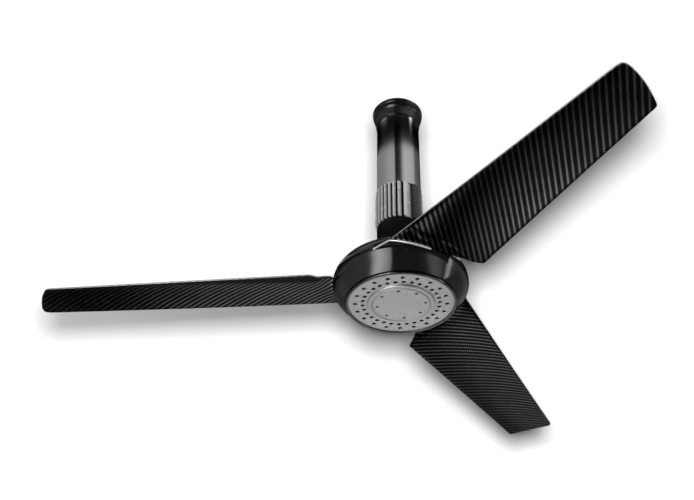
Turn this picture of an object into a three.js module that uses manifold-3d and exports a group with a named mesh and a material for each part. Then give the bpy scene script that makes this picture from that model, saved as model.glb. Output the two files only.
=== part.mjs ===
// Ceiling fan with a long stem, a finned heat sink, a turned motor housing and three broad blades.
// Millimetres, +Z up. The origin is the centre of the ceiling plate's upper face.
import * as THREE from "three";
import { mergeVertices } from "three/addons/utils/BufferGeometryUtils.js";
import Module from "manifold-3d";

const wasm = await Module();
wasm.setup();

// Clearances and facets that the whole fan shares
const GAP = 0.3;
const OVERRUN = 6;
const MERGE_DISTANCE = 0.001;
const ROUND_SIDES = 32;
const STEM_SIDES = 24;
const INNER_SIDES = 20;
const SMALL_SIDES = 10;
const SCREW_SIDES = 6;

// The stack from the ceiling down to the lowest face
const CANOPY_DROP = 40.3;
const TUBE_SHOWN = 186.8;
const SINK_LENGTH = 84.9;
const NECK_LENGTH = 83.5;
const RUNNING_GAP = 2.5;
const SHOULDER_HEIGHT = 47.3;
const BOWL_DEPTH = 40.7;

// Canopy
const CANOPY_WALL = 1.6;
const CANOPY_LIP_RADIUS = 52.9;
const CANOPY_LIP_HEIGHT = 18.2;
const CANOPY_ROLL_HEIGHT = 9;
const CANOPY_GROOVE = 2;
const CANOPY_SOFT_EDGE = 1.2;
const CANOPY_CUP_FLARE = 1.2;
const CEILING_GAP = 0.5;

// Stem tube and what centres it on the rod
const TUBE_RADIUS = 44.1;
const TUBE_WALL = 1.2;
const TUBE_IN_CANOPY = 18;
const SPACER_HEIGHT = 8;
const SPACER_DROP = 54;
const SPACER_RIM = 3;
const SPACER_SPOKE = 6;

// Ceiling plate with its two ears
const PLATE_LENGTH = 88;
const PLATE_WIDTH = 28;
const PLATE_THICKNESS = 3;
const PLATE_SLOT_LENGTH = 12;
const PLATE_SLOT_WIDTH = 5.5;
const PLATE_SLOT_INSET = 10;
const EAR_THICKNESS = 3;
const EAR_WIDTH = 24;
const EAR_DROP = 24;
const EAR_CLEARANCE = 1.4;

// Rod, its pins and its coupling
const ROD_RADIUS = 11;
const ROD_WALL = 2.5;
const ROD_TOP_DROP = 10;
const ROD_INSERT = 37;
const HANGER_PIN_RADIUS = 4;
const PIN_RADIUS = 3.5;
const PIN_HEAD_RADIUS = 6.2;
const PIN_HEAD_HEIGHT = 3;
const PIN_TAIL = 4;
const CLIP_THICKNESS = 1.6;
const CLIP_WIDTH = 2.8;
const COUPLING_WALL = 5;
const COUPLING_LENGTH = 75;
const COUPLING_PIN_DROP = 18;
const BOLT_RADIUS = 3;
const BOLT_HEAD_RADIUS = 5.4;
const BOLT_HEAD_HEIGHT = 4;
const BOLT_RISE = 15;

// Heat sink with straight parallel fins
const SINK_RADIUS = 47.2;
const SINK_CORE_RADIUS = 33;
const SINK_SPIGOT_HEIGHT = 8;
const FIN_THICKNESS = 2.9;
const FIN_PITCH = 9;
const FINS_EACH_SIDE = 4;
const FIN_AZIMUTH = 57;
const FLANK_HALF_WIDTH = 13.8;
const SINK_SCREW_RADIUS = 2;
const SINK_SCREW_HEAD_RADIUS = 3.8;
const SINK_SCREW_HEAD_HEIGHT = 2.6;
const SINK_SCREW_LENGTH = 16;
const SINK_SCREW_CIRCLE = 25;

// Driver board and its bracket on the heat sink
const BOARD_WIDTH = 56;
const BOARD_LENGTH = 96;
const BOARD_THICKNESS = 1.6;
const BOARD_OFFSET = 20;
const BOARD_RISE = 6;
const PART_HEIGHT = 9;
const BRACKET_WIDTH = 36;
const BRACKET_FOOT = 12;
const BRACKET_SHEET = 2;
const BRACKET_RISE = 58;

// Neck cover
const NECK_RADIUS = 44.6;
const NECK_WALL = 1.8;
const NECK_FLANGE = 2.7;
const NECK_EDGE = 1.5;

// Terminal block under the ceiling plate
const BLOCK_LENGTH = 20;
const BLOCK_WIDTH = 16;
const BLOCK_HEIGHT = 11;
const BLOCK_INSET = 3.5;
const BLOCK_PORT = 4;

// Canopy screws
const CANOPY_SCREW_RADIUS = 1.9;
const CANOPY_SCREW_HEAD_RADIUS = 3.4;
const CANOPY_SCREW_HEAD_HEIGHT = 1.8;
const CANOPY_SCREW_LENGTH = 6;
const CANOPY_SCREW_RISE = 9;
const CANOPY_SCREW_AZIMUTHS = [30, 150];

// Motor shaft, nut, bearings and the wound stator
const SHAFT_RADIUS = 8.5;
const SHAFT_BORE = 5;
const SHAFT_FOOT = 4;
const NUT_RADIUS = 12.5;
const NUT_HEIGHT = 3.2;
const BEARING_RADIUS = 20;
const BEARING_WIDTH = 11.8;
const BEARING_RACE = 3;
const BEARING_RECESS = 1;
const SEAT_WALL = 3.7;
const CORE_TEETH = 9;
const CORE_HEIGHT = 20;
const CORE_RISE = 31;
const CORE_YOKE_SHARE = 0.4722;
const TOOTH_WIDTH = 11;
const TOOTH_SHOE_HEIGHT = 4;
const TOOTH_SHOE_GAP = 3;
const WINDING_OVERHANG = 4;
const WINDING_RISE = 2;
const WINDING_INSET = 6;

// Rotor cup, end plate and magnets
const CUP_WALL = 2.5;
const CUP_TOP_RISE = 66;
const CUP_SHEET = 3;
const AIR_GAP = 1.2;
const MAGNET_HEIGHT = 28;
const MAGNET_THICKNESS = 4;
const FLANGE_INSET = 4;
const FLANGE_SHEET = 3;
const END_PLATE_RISE = 20;
const END_PLATE_SHEET = 3.3;
const BOSS_RADIUS = 4;

// Motor housing, bowl and shoulder
const HOUSING_RADIUS = 126.6;
const HOUSING_WALL = 2.4;
const BOWL_FOOT_SHARE = 0.8152;
const CREST_SHARE = 0.722;
const CUP_SHARE = 0.632;
const BOWL_BULGE = 5;
const SHOULDER_BAND = 1.2;
const SHOULDER_CREST_DROP = 7.2;
const SHOULDER_OPENING = 30;
const SHOULDER_FLAT_RADIUS = 50;
const SKIRT_RADIUS = 60;
const LIP_HEIGHT = 4;
const SHELF_WIDTH = 12;
const SHELF_SHEET = 3;
const BOWL_STEPS = 4;
const SHOULDER_STEPS = 6;

// Bottom disc
const BEZEL_INSET = 0.2;
const BEZEL_WIDTH = 5.7;
const BEZEL_FACE_RISE = 0.5;
const BEZEL_HEIGHT = 4.5;
const BEZEL_EDGE = 0.9;
const LEDGE_SHEET = 1.3;
const LEDGE_OVERLAP = 1.7;
const DISC_SHEET = 1.6;
const OUTER_HOLES_SHARE = 0.8674;
const INNER_HOLES_SHARE = 0.7276;
const CENTRE_SHARE = 0.6393;
const CENTRE_SCREWS_SHARE = 0.4604;
const DISC_BORE_SHARE = 0.39;
const CENTRE_SHEET = 1.8;
const BEAD_DEPTH = 0.7;
const BEAD_INSET = 8;
const BEAD_WIDTH = 3;
const OUTER_HOLES = 20;
const INNER_HOLES = 30;
const HOLE_RADIUS = 4.4;
const HOLE_SIDES = 6;
const HOLE_START = 87;
const CENTRE_SCREWS = 8;
const CENTRE_SCREW_RADIUS = 1.4;
const CENTRE_SCREW_HEAD = 2.8;
const CENTRE_SCREW_HEAD_HEIGHT = 0.8;
const CENTRE_SCREW_LENGTH = 10;

// Blade root, its seat and the notch beside it as shares of the housing's radius:
// u runs out along the blade and v across it, with the leading edge at minus v
const ROOT_INNER_SHARE = 0.6951;
const ROOT_SCREWS_SHARE = 0.7662;
const ROOT_LEADING_OUT_SHARE = 0.7851;
const ROOT_NECK_OUT_SHARE = 0.9795;
const ROOT_HEEL_OUT_SHARE = 1.2907;
const BEND_START_SHARE = 1.0071;
const BEND_END_SHARE = 1.2638;
const NOTCH_FOOT_SHARE = -0.8498;
const ROOT_LEADING_SHARE = -0.6272;
const TAB_LEADING_SHARE = -0.4739;
const SEAT_LEADING_SHARE = -0.3791;
const TRIM_END_SHARE = -0.1106;
const TAB_TRAILING_SHARE = 0.1896;
const ROOT_NECK_SHARE = 0.2054;
const ROOT_HEEL_SHARE = 0.5687;
const SCREW_V_SHARES = [-0.3002, 0.1106];

// Blade beyond its root
const BLADES = 3;
const FIRST_BLADE_AZIMUTH = 65.2;
const BLADE_THICKNESS = 3;
const BLADE_HEEL_ROUND = 4;
const BLADE_TIP_TRAILING_OUT = 620.9;
const BLADE_TIP_TRAILING = 51.7;
const BLADE_TIP_TRAILING_ROUND = 6;
const BLADE_TIP_LEADING_OUT = 653.6;
const BLADE_TIP_LEADING = -42.3;
const BLADE_TIP_LEADING_ROUND = 16;
const BLADE_TIP_BULGE = 7.5;
const BLADE_TIP_REACH = 664;
const BLADE_ROOT_RISE = 37;
const BLADE_ROOT_OUT = 132;
const BLADE_DROOP = 27.8;
const BLADE_DROOP_SPAN = 538;
const BLADE_ROOT_PITCH = 13.9;
const BLADE_TIP_PITCH = 7.2;
const BLADE_CAMBER = 4.5;
const BLADE_BEND_SOFTNESS = 6;
const BLADE_RIM_GAP = 0.8;
const BLADE_EDGE_MARGIN = 5;
const BLADE_ROOT_STEPS = 7;
const BLADE_SPAN_STEPS = 6;
const BLADE_CHORD_STEPS = 7;

// Blade seat, its screws and the slot in the shoulder
const SEAT_START = 2;
const SEAT_LENGTH = 22;
const SEAT_LEAST = 3;
const BLADE_SCREW_RADIUS = 2.2;
const BLADE_SCREW_HEAD = 4.2;
const BLADE_SCREW_HEAD_HEIGHT = 3;
const BLADE_SCREW_TAIL = 2;
const SLOT_CLEARANCE = 1.2;
const NOTCH_SHARE = 1.03;
const TRIM_WIDTH = 2.4;
const TRIM_DEPTH = 4;
const TRIM_PROUD = 0.8;
const PEAK_ROOT = 3;

// Heights above the lowest face, used inside the motor
const FACE_DROP = CANOPY_DROP + TUBE_SHOWN + SINK_LENGTH + NECK_LENGTH
  + RUNNING_GAP + SHOULDER_HEIGHT + BOWL_DEPTH;
const HOUSING_TOP = BOWL_DEPTH + SHOULDER_HEIGHT;
const NECK_BOTTOM = HOUSING_TOP + RUNNING_GAP;
const SINK_BOTTOM = NECK_BOTTOM + NECK_LENGTH;
const SINK_TOP = SINK_BOTTOM + SINK_LENGTH;
const COUPLING_TOP = SINK_BOTTOM - GAP - NECK_FLANGE - GAP;
const COUPLING_BOTTOM = COUPLING_TOP - COUPLING_LENGTH;
const ROD_BOTTOM = COUPLING_TOP - ROD_INSERT;
const PIN_LEVEL = COUPLING_TOP - COUPLING_PIN_DROP;
const BOLT_LEVEL = COUPLING_BOTTOM + BOLT_RISE;
const COUPLING_RADIUS = ROD_RADIUS + GAP + COUPLING_WALL;
const RIM_TOP = BOWL_DEPTH - GAP;
const BLADE_FLAT = RIM_TOP + BLADE_RIM_GAP + BLADE_THICKNESS / 2;
const FLANGE_TOP = BLADE_FLAT - BLADE_THICKNESS / 2 - GAP - SEAT_LEAST - GAP;
const CUP_TOP = CUP_TOP_RISE + CUP_SHEET;
const TUBE_BORE = TUBE_RADIUS - TUBE_WALL;

// Radii of the housing, the motor in it and the disc below it
const BOWL_BOTTOM_RADIUS = HOUSING_RADIUS * BOWL_FOOT_SHARE;
const SHOULDER_CREST_RADIUS = HOUSING_RADIUS * CREST_SHARE;
const CUP_RADIUS = HOUSING_RADIUS * CUP_SHARE;
const MAGNET_OUTER = CUP_RADIUS - CUP_WALL - GAP;
const MAGNET_INNER = MAGNET_OUTER - MAGNET_THICKNESS;
const CORE_RADIUS = MAGNET_INNER - AIR_GAP;
const CORE_YOKE_RADIUS = CORE_RADIUS * CORE_YOKE_SHARE;
const WINDING_INNER = CORE_YOKE_RADIUS + WINDING_RISE;
const BEZEL_RADIUS = BOWL_BOTTOM_RADIUS - BEZEL_INSET;
const BEZEL_LEDGE_RADIUS = BEZEL_RADIUS - BEZEL_WIDTH;
const OUTER_HOLE_CIRCLE = BEZEL_LEDGE_RADIUS * OUTER_HOLES_SHARE;
const INNER_HOLE_CIRCLE = BEZEL_LEDGE_RADIUS * INNER_HOLES_SHARE;
const CENTRE_RADIUS = BEZEL_LEDGE_RADIUS * CENTRE_SHARE;
const CENTRE_SCREW_CIRCLE = BEZEL_LEDGE_RADIUS * CENTRE_SCREWS_SHARE;
const DISC_BORE = BEZEL_LEDGE_RADIUS * DISC_BORE_SHARE;

// Places of the blade root, its seat and the notch
const BLADE_INNER = HOUSING_RADIUS * ROOT_INNER_SHARE;
const BLADE_TAB_LEADING = HOUSING_RADIUS * TAB_LEADING_SHARE;
const BLADE_TAB_TRAILING = HOUSING_RADIUS * TAB_TRAILING_SHARE;
const BLADE_LEADING_OUT = HOUSING_RADIUS * ROOT_LEADING_OUT_SHARE;
const BLADE_LEADING = HOUSING_RADIUS * ROOT_LEADING_SHARE;
const BLADE_HALF_SPAN = BLADE_EDGE_MARGIN - BLADE_LEADING;
const BLADE_NECK_OUT = HOUSING_RADIUS * ROOT_NECK_OUT_SHARE;
const BLADE_NECK_TRAILING = HOUSING_RADIUS * ROOT_NECK_SHARE;
const BLADE_HEEL_OUT = HOUSING_RADIUS * ROOT_HEEL_OUT_SHARE;
const BLADE_HEEL_TRAILING = HOUSING_RADIUS * ROOT_HEEL_SHARE;
const BLADE_BEND_START = HOUSING_RADIUS * BEND_START_SHARE;
const BLADE_BEND_END = HOUSING_RADIUS * BEND_END_SHARE;
const BLADE_SCREW_OUT = HOUSING_RADIUS * ROOT_SCREWS_SHARE;
const BLADE_SCREW_PLACES = SCREW_V_SHARES.map((share) => HOUSING_RADIUS * share);
const SEAT_INNER = BLADE_INNER - SEAT_START;
const SEAT_OUTER = SEAT_INNER + SEAT_LENGTH;
const SEAT_LEADING = HOUSING_RADIUS * SEAT_LEADING_SHARE;
const SEAT_TRAILING = BLADE_TAB_TRAILING;
const NOTCH_FOOT = HOUSING_RADIUS * NOTCH_FOOT_SHARE;
const TRIM_TRAILING = HOUSING_RADIUS * TRIM_END_SHARE;

// Materials, one for each finish
const FINISHES = {
  blackChrome: { color: 0x17181a, roughness: 0.12, metalness: 0.9 },
  glossBlack: { color: 0x0e0f10, roughness: 0.18, metalness: 0.3 },
  carbon: { color: 0x1c1d1f, roughness: 0.35, metalness: 0.1 },
  polished: { color: 0xc9cacc, roughness: 0.2, metalness: 1 },
  spun: { color: 0xb2b3b5, roughness: 0.42, metalness: 0.9 },
  steel: { color: 0x8c8f93, roughness: 0.4, metalness: 1 },
  darkSteel: { color: 0x3b3d40, roughness: 0.5, metalness: 0.8 },
  copper: { color: 0xa4602f, roughness: 0.4, metalness: 0.9 },
  magnet: { color: 0x2b2b2d, roughness: 0.7, metalness: 0.2 },
  board: { color: 0x1f5a34, roughness: 0.6, metalness: 0 },
  plastic: { color: 0xd9d7cf, roughness: 0.6, metalness: 0 },
};

function radians(degrees) {
  return THREE.MathUtils.degToRad(degrees);
}

// A closed three.js geometry as a manifold-3d solid
function solid(geometry) {
  const bare = geometry.clone();
  bare.deleteAttribute("normal");
  bare.deleteAttribute("uv");
  const merged = mergeVertices(bare, MERGE_DISTANCE);
  return new wasm.Manifold(
    new wasm.Mesh({
      numProp: 3,
      vertProperties: merged.attributes.position.array,
      triVerts: new Uint32Array(merged.index.array),
    }),
  );
}

// A manifold-3d solid as a three.js geometry with flat-shaded normals
function geometryOf(made) {
  const mesh = made.getMesh();
  const positions = new Float32Array(mesh.numVert * 3);
  for (let i = 0; i < mesh.numVert; i += 1) {
    const start = i * mesh.numProp;
    positions.set(mesh.vertProperties.subarray(start, start + 3), i * 3);
  }
  const geometry = new THREE.BufferGeometry();
  geometry.setAttribute("position", new THREE.BufferAttribute(positions, 3));
  geometry.setIndex(new THREE.BufferAttribute(mesh.triVerts, 1));
  geometry.computeVertexNormals();
  return geometry;
}

function joined(solids) {
  return solids.reduce((whole, each) => whole.add(each));
}

function cut(body, tools) {
  return tools.reduce((rest, tool) => rest.subtract(tool), body);
}

// A ring or a disc turned about Z from [radius, height] points, listed anticlockwise
function turned(points, sides = ROUND_SIDES) {
  const profile = points.map(([radius, height]) => new THREE.Vector2(radius, height));
  const onAxis = points[0][0] === 0;
  if (!onAxis) {
    profile.push(profile[0].clone());
  }
  return new THREE.LatheGeometry(profile, sides).rotateX(Math.PI / 2);
}

// A box given by its low and high corners
function block(low, high) {
  const size = high.map((value, axis) => value - low[axis]);
  const middle = high.map((value, axis) => (value + low[axis]) / 2);
  return new THREE.BoxGeometry(...size).translate(...middle);
}

// A cylinder along Z from one height to another
function rod(radius, from, to, sides = SCREW_SIDES) {
  const geometry = new THREE.CylinderGeometry(radius, radius, to - from, sides);
  return geometry.rotateX(Math.PI / 2).translate(0, 0, (from + to) / 2);
}

// A screw or pin along Z with its head above height zero and its shank below
function headed(radius, headRadius, headHeight, length, sides = SCREW_SIDES) {
  return turned(
    [
      [0, -length],
      [radius, -length],
      [radius, 0],
      [headRadius, 0],
      [headRadius, headHeight],
      [0, headHeight],
    ],
    sides,
  );
}

// A prism: an outline in the v-z plane, carried out along u
function prismAlongU(points, from, to) {
  const shape = new THREE.Shape(points.map(([v, z]) => new THREE.Vector2(v, z)));
  const geometry = new THREE.ExtrudeGeometry(shape, { depth: to - from, bevelEnabled: false });
  const turn = new THREE.Matrix4().makeBasis(
    new THREE.Vector3(0, 1, 0),
    new THREE.Vector3(0, 0, 1),
    new THREE.Vector3(1, 0, 0),
  );
  return geometry.applyMatrix4(turn).translate(from, 0, 0);
}

function piece(name, geometry, finish, place = {}) {
  const mesh = new THREE.Mesh(geometry, new THREE.MeshStandardMaterial(FINISHES[finish]));
  mesh.name = name;
  mesh.position.set(place.x ?? 0, place.y ?? 0, place.z ?? 0);
  mesh.rotation.set(place.tilt ?? 0, place.lean ?? 0, place.turn ?? 0);
  return mesh;
}

// Ceiling plate: a slotted strip with two drilled ears
function ceilingPlate() {
  const halfLength = PLATE_LENGTH / 2;
  const halfWidth = PLATE_WIDTH / 2;
  const slotHalf = PLATE_SLOT_LENGTH / 2;
  const slotSide = PLATE_SLOT_WIDTH / 2;
  const slotAt = halfLength - PLATE_SLOT_INSET;
  const strip = solid(block([-halfLength, -halfWidth, -PLATE_THICKNESS], [halfLength, halfWidth, 0]));
  const slots = [-slotAt, slotAt].map((x) => solid(
    block([x - slotSide, -slotHalf, -PLATE_THICKNESS - OVERRUN], [x + slotSide, slotHalf, OVERRUN]),
  ));
  const earInner = ROD_RADIUS + EAR_CLEARANCE;
  const earOuter = earInner + EAR_THICKNESS;
  const earLow = -EAR_DROP;
  const ears = [-1, 1].map((side) => {
    const [from, to] = side < 0 ? [-earOuter, -earInner] : [earInner, earOuter];
    const sheet = solid(block([from, -EAR_WIDTH / 2, earLow], [to, EAR_WIDTH / 2, -PLATE_THICKNESS / 2]));
    const end = rod(EAR_WIDTH / 2, from, to, SMALL_SIDES).rotateY(Math.PI / 2).translate(0, 0, earLow);
    return sheet.add(solid(end));
  });
  const bore = rod(HANGER_PIN_RADIUS + GAP, -earOuter - OVERRUN, earOuter + OVERRUN, SMALL_SIDES);
  const hole = solid(bore.rotateY(Math.PI / 2).translate(0, 0, earLow));
  return cut(joined([strip, ...ears]), [...slots, hole]);
}

// Canopy: a rolled lip against the ceiling and a cup that slides over the tube
function canopy() {
  const top = -CEILING_GAP;
  const lip = CANOPY_LIP_RADIUS;
  const edge = CANOPY_SOFT_EDGE;
  const neck = lip - CANOPY_GROOVE;
  const inside = neck - CANOPY_WALL;
  const cupInner = TUBE_RADIUS + GAP;
  const cupOuter = cupInner + CANOPY_WALL;
  const body = solid(turned([
    [cupInner, -CANOPY_DROP],
    [cupOuter, -CANOPY_DROP],
    [cupOuter + CANOPY_CUP_FLARE, -CANOPY_LIP_HEIGHT - edge],
    [lip - edge, -CANOPY_LIP_HEIGHT + edge],
    [lip - edge, -CANOPY_ROLL_HEIGHT - CANOPY_GROOVE],
    [neck, -CANOPY_ROLL_HEIGHT - CANOPY_GROOVE],
    [neck, -CANOPY_ROLL_HEIGHT],
    [lip - edge, -CANOPY_ROLL_HEIGHT],
    [lip, -CANOPY_ROLL_HEIGHT + edge],
    [lip, top - edge],
    [lip - edge, top],
    [inside, top],
    [inside, -CANOPY_LIP_HEIGHT + CANOPY_GROOVE + edge],
    [cupInner, -CANOPY_LIP_HEIGHT],
  ], STEM_SIDES));
  return cut(body, canopyScrewHoles());
}

function canopyScrewHoles() {
  const reach = CANOPY_LIP_RADIUS + OVERRUN;
  return CANOPY_SCREW_AZIMUTHS.map((azimuth) => {
    const hole = rod(CANOPY_SCREW_RADIUS + GAP, TUBE_BORE - OVERRUN, reach);
    hole.rotateY(Math.PI / 2).rotateZ(radians(azimuth));
    return solid(hole.translate(0, 0, CANOPY_SCREW_RISE - CANOPY_DROP));
  });
}

// Stem tube, drilled for the canopy screws
function tubeCover() {
  const bottom = -CANOPY_DROP - TUBE_SHOWN + GAP;
  const top = -CANOPY_DROP + TUBE_IN_CANOPY;
  const tube = solid(turned([
    [TUBE_BORE, bottom],
    [TUBE_RADIUS, bottom],
    [TUBE_RADIUS, top],
    [TUBE_BORE, top],
  ], STEM_SIDES));
  return cut(tube, canopyScrewHoles());
}

// Spoked ring that centres the tube on the rod
function tubeSpacer() {
  const outer = TUBE_BORE - GAP;
  const inner = ROD_RADIUS + GAP;
  const ring = (from, to, sides) => solid(turned([
    [from, 0],
    [to, 0],
    [to, SPACER_HEIGHT],
    [from, SPACER_HEIGHT],
  ], sides));
  const spokes = [0, 1, 2].map((k) => {
    const low = [inner + SPACER_RIM / 2, -SPACER_SPOKE / 2, 0];
    const high = [outer - SPACER_RIM / 2, SPACER_SPOKE / 2, SPACER_HEIGHT];
    return solid(block(low, high).rotateZ(k * 2 * Math.PI / 3));
  });
  const hub = ring(inner, inner + SPACER_RIM, INNER_SIDES);
  const rim = ring(outer - SPACER_RIM, outer, STEM_SIDES);
  return joined([hub, rim, ...spokes]);
}

// Rod: a pipe with a cross hole near each end, heights from the ceiling
function downrod() {
  const bottom = ROD_BOTTOM - FACE_DROP;
  const pipe = solid(turned([
    [ROD_RADIUS - ROD_WALL, bottom],
    [ROD_RADIUS, bottom],
    [ROD_RADIUS, -ROD_TOP_DROP],
    [ROD_RADIUS - ROD_WALL, -ROD_TOP_DROP],
  ], INNER_SIDES));
  return cut(pipe, [
    crossHole(HANGER_PIN_RADIUS + GAP, -EAR_DROP, 0),
    crossHole(PIN_RADIUS + GAP, PIN_LEVEL - FACE_DROP, 0),
  ]);
}

// A hole through the stem at one height, along X and then turned about Z
function crossHole(radius, height, azimuth) {
  const reach = COUPLING_RADIUS + OVERRUN;
  const hole = rod(radius, -reach, reach, SMALL_SIDES).rotateY(Math.PI / 2);
  return solid(hole.rotateZ(azimuth).translate(0, 0, height));
}

// A pin along X with its head on the low side, and the clip that holds it
function crossPin(radius, halfWidth) {
  const length = 2 * halfWidth + 2 * GAP + CLIP_THICKNESS + PIN_TAIL;
  const pin = headed(radius, PIN_HEAD_RADIUS, PIN_HEAD_HEIGHT, length, SMALL_SIDES);
  return pin.rotateY(-Math.PI / 2).translate(-halfWidth - GAP, 0, 0);
}

function pinClip(radius, halfWidth) {
  const from = halfWidth + GAP;
  const ring = turned([
    [radius + GAP, from],
    [radius + GAP + CLIP_WIDTH, from],
    [radius + GAP + CLIP_WIDTH, from + CLIP_THICKNESS],
    [radius + GAP, from + CLIP_THICKNESS],
  ], SMALL_SIDES);
  return ring.rotateY(Math.PI / 2);
}

// Coupling: a sleeve with a wide bore for the rod and a narrow one for the shaft
function rodCoupling() {
  const step = ROD_BOTTOM - GAP;
  const sleeve = solid(turned([
    [SHAFT_RADIUS + GAP, COUPLING_BOTTOM],
    [COUPLING_RADIUS, COUPLING_BOTTOM],
    [COUPLING_RADIUS, COUPLING_TOP],
    [ROD_RADIUS + GAP, COUPLING_TOP],
    [ROD_RADIUS + GAP, step],
    [SHAFT_RADIUS + GAP, step],
  ], INNER_SIDES));
  return cut(sleeve, [
    crossHole(PIN_RADIUS + GAP, PIN_LEVEL, 0),
    crossHole(BOLT_RADIUS + GAP, BOLT_LEVEL, Math.PI / 2),
  ]);
}

function couplingBolt() {
  const length = 2 * (COUPLING_RADIUS + GAP) + PIN_TAIL;
  const bolt = headed(BOLT_RADIUS, BOLT_HEAD_RADIUS, BOLT_HEAD_HEIGHT, length, SMALL_SIDES);
  return bolt.rotateX(-Math.PI / 2).translate(0, COUPLING_RADIUS + GAP, 0);
}

// Heat sink: parallel fins and two smooth flanks clipped to a circle round a solid core
function heatSink() {
  const envelope = solid(rod(SINK_RADIUS, SINK_BOTTOM, SINK_TOP, STEM_SIDES));
  const core = solid(rod(SINK_CORE_RADIUS, SINK_BOTTOM, SINK_TOP, INNER_SIDES));
  const reach = SINK_RADIUS + OVERRUN;
  const fins = [];
  for (let k = -FINS_EACH_SIDE; k <= FINS_EACH_SIDE; k += 1) {
    const middle = k * FIN_PITCH;
    const low = [-reach, middle - FIN_THICKNESS / 2, SINK_BOTTOM];
    const high = [reach, middle + FIN_THICKNESS / 2, SINK_TOP];
    fins.push(solid(block(low, high)));
  }
  const flanks = solid(block(
    [-FLANK_HALF_WIDTH, -reach, SINK_BOTTOM],
    [FLANK_HALF_WIDTH, reach, SINK_TOP],
  ));
  const finned = joined([...fins, flanks, core]).intersect(envelope);
  const spigotTop = SINK_TOP + SINK_SPIGOT_HEIGHT;
  const spigot = solid(rod(TUBE_BORE - GAP, SINK_TOP - OVERRUN, spigotTop, STEM_SIDES));
  const spigotClip = spigot.intersect(solid(rod(SINK_CORE_RADIUS, SINK_BOTTOM, spigotTop, INNER_SIDES)));
  const collar = spigot.intersect(solid(rod(reach, SINK_TOP, spigotTop, INNER_SIDES)));
  const bore = solid(rod(ROD_RADIUS + GAP, SINK_BOTTOM - OVERRUN, spigotTop + OVERRUN, INNER_SIDES));
  return cut(joined([finned, spigotClip, collar]), [bore, ...sinkScrewHoles()]);
}

function sinkScrewPlaces() {
  return [-SINK_SCREW_CIRCLE, SINK_SCREW_CIRCLE].map((x) => ({ x, y: 0 }));
}

function sinkScrewHoles() {
  const from = COUPLING_TOP - OVERRUN;
  const to = SINK_BOTTOM + SINK_SCREW_LENGTH;
  const hole = solid(rod(SINK_SCREW_RADIUS + GAP, from, to));
  return sinkScrewPlaces().map(({ x, y }) => hole.translate([x, y, 0]));
}

// Neck cover: a flanged sleeve under the heat sink
function neckCover() {
  const top = SINK_BOTTOM - GAP;
  const inner = NECK_RADIUS - NECK_WALL;
  const sleeve = solid(turned([
    [inner, NECK_BOTTOM],
    [NECK_RADIUS - NECK_EDGE, NECK_BOTTOM],
    [NECK_RADIUS, NECK_BOTTOM + NECK_EDGE],
    [NECK_RADIUS, top - NECK_EDGE],
    [NECK_RADIUS - NECK_EDGE, top],
    [ROD_RADIUS + GAP, top],
    [ROD_RADIUS + GAP, top - NECK_FLANGE],
    [inner, top - NECK_FLANGE],
  ], STEM_SIDES));
  return cut(sleeve, sinkScrewHoles());
}

// Driver board with its parts, and the bent bracket that carries it
function driverBoard() {
  const half = BOARD_WIDTH / 2;
  const low = SINK_TOP + SINK_SPIGOT_HEIGHT + BOARD_RISE;
  const back = BOARD_OFFSET + BOARD_THICKNESS;
  const middle = BOARD_OFFSET + BOARD_THICKNESS / 2;
  const board = solid(block([-half, BOARD_OFFSET, low], [half, back, low + BOARD_LENGTH]));
  const step = BOARD_LENGTH / 4;
  const parts = [1, 2, 3].map((k) => {
    const size = PART_HEIGHT / k;
    const foot = BOARD_OFFSET - size / 2;
    const corner = [-half + k * size, foot, low + (k - 1 / 2) * step];
    return solid(block(corner, [corner[0] + 2 * size, middle, corner[2] + step / 2]));
  });
  return joined([board, ...parts]);
}

function driverBracket() {
  const half = BRACKET_WIDTH / 2;
  const floor = SINK_TOP + SINK_SPIGOT_HEIGHT + GAP;
  const back = BOARD_OFFSET + BOARD_THICKNESS + GAP;
  const upright = solid(block([-half, back, floor], [half, back + BRACKET_SHEET, floor + BRACKET_RISE]));
  const foot = solid(block([-half, back, floor], [half, back + BRACKET_FOOT, floor + BRACKET_SHEET]));
  return upright.add(foot);
}

// Terminal block with wire ports along its two long sides
function terminalBlock() {
  const half = BLOCK_LENGTH / 2;
  const side = BLOCK_WIDTH / 2;
  const body = solid(block([-half, -side, -BLOCK_HEIGHT], [half, side, 0]));
  const ports = [-1, 0, 1].map((k) => {
    const x = k * BLOCK_LENGTH / 3;
    const port = BLOCK_PORT / 2;
    const level = -BLOCK_HEIGHT / 2;
    return solid(block([x - port, -side - OVERRUN, level - port], [x + port, side + OVERRUN, level + port]));
  });
  return cut(body, ports);
}

// Motor shaft: a hollow pin with the cross hole for the coupling bolt
function motorShaft() {
  const shaft = solid(turned([
    [SHAFT_BORE, SHAFT_FOOT],
    [SHAFT_RADIUS, SHAFT_FOOT],
    [SHAFT_RADIUS, ROD_BOTTOM - 2 * GAP],
    [SHAFT_BORE, ROD_BOTTOM - 2 * GAP],
  ], INNER_SIDES));
  return cut(shaft, [crossHole(BOLT_RADIUS + GAP, BOLT_LEVEL, Math.PI / 2)]);
}

function shaftNut() {
  const low = END_PLATE_RISE - GAP - BEARING_WIDTH - GAP - NUT_HEIGHT;
  const top = low + NUT_HEIGHT;
  const hexagon = solid(rod(NUT_RADIUS, low, top));
  return cut(hexagon, [solid(rod(SHAFT_RADIUS + GAP, low - OVERRUN, top + OVERRUN, INNER_SIDES))]);
}

// Ball bearing with a recessed shield between its two races
function bearing() {
  const bore = SHAFT_RADIUS + GAP;
  const top = BEARING_WIDTH;
  return turned([
    [bore, 0],
    [BEARING_RADIUS, 0],
    [BEARING_RADIUS, top],
    [BEARING_RADIUS - BEARING_RACE, top],
    [BEARING_RADIUS - BEARING_RACE, top - BEARING_RECESS],
    [bore + BEARING_RACE, top - BEARING_RECESS],
    [bore + BEARING_RACE, top],
    [bore, top],
  ], INNER_SIDES);
}

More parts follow.
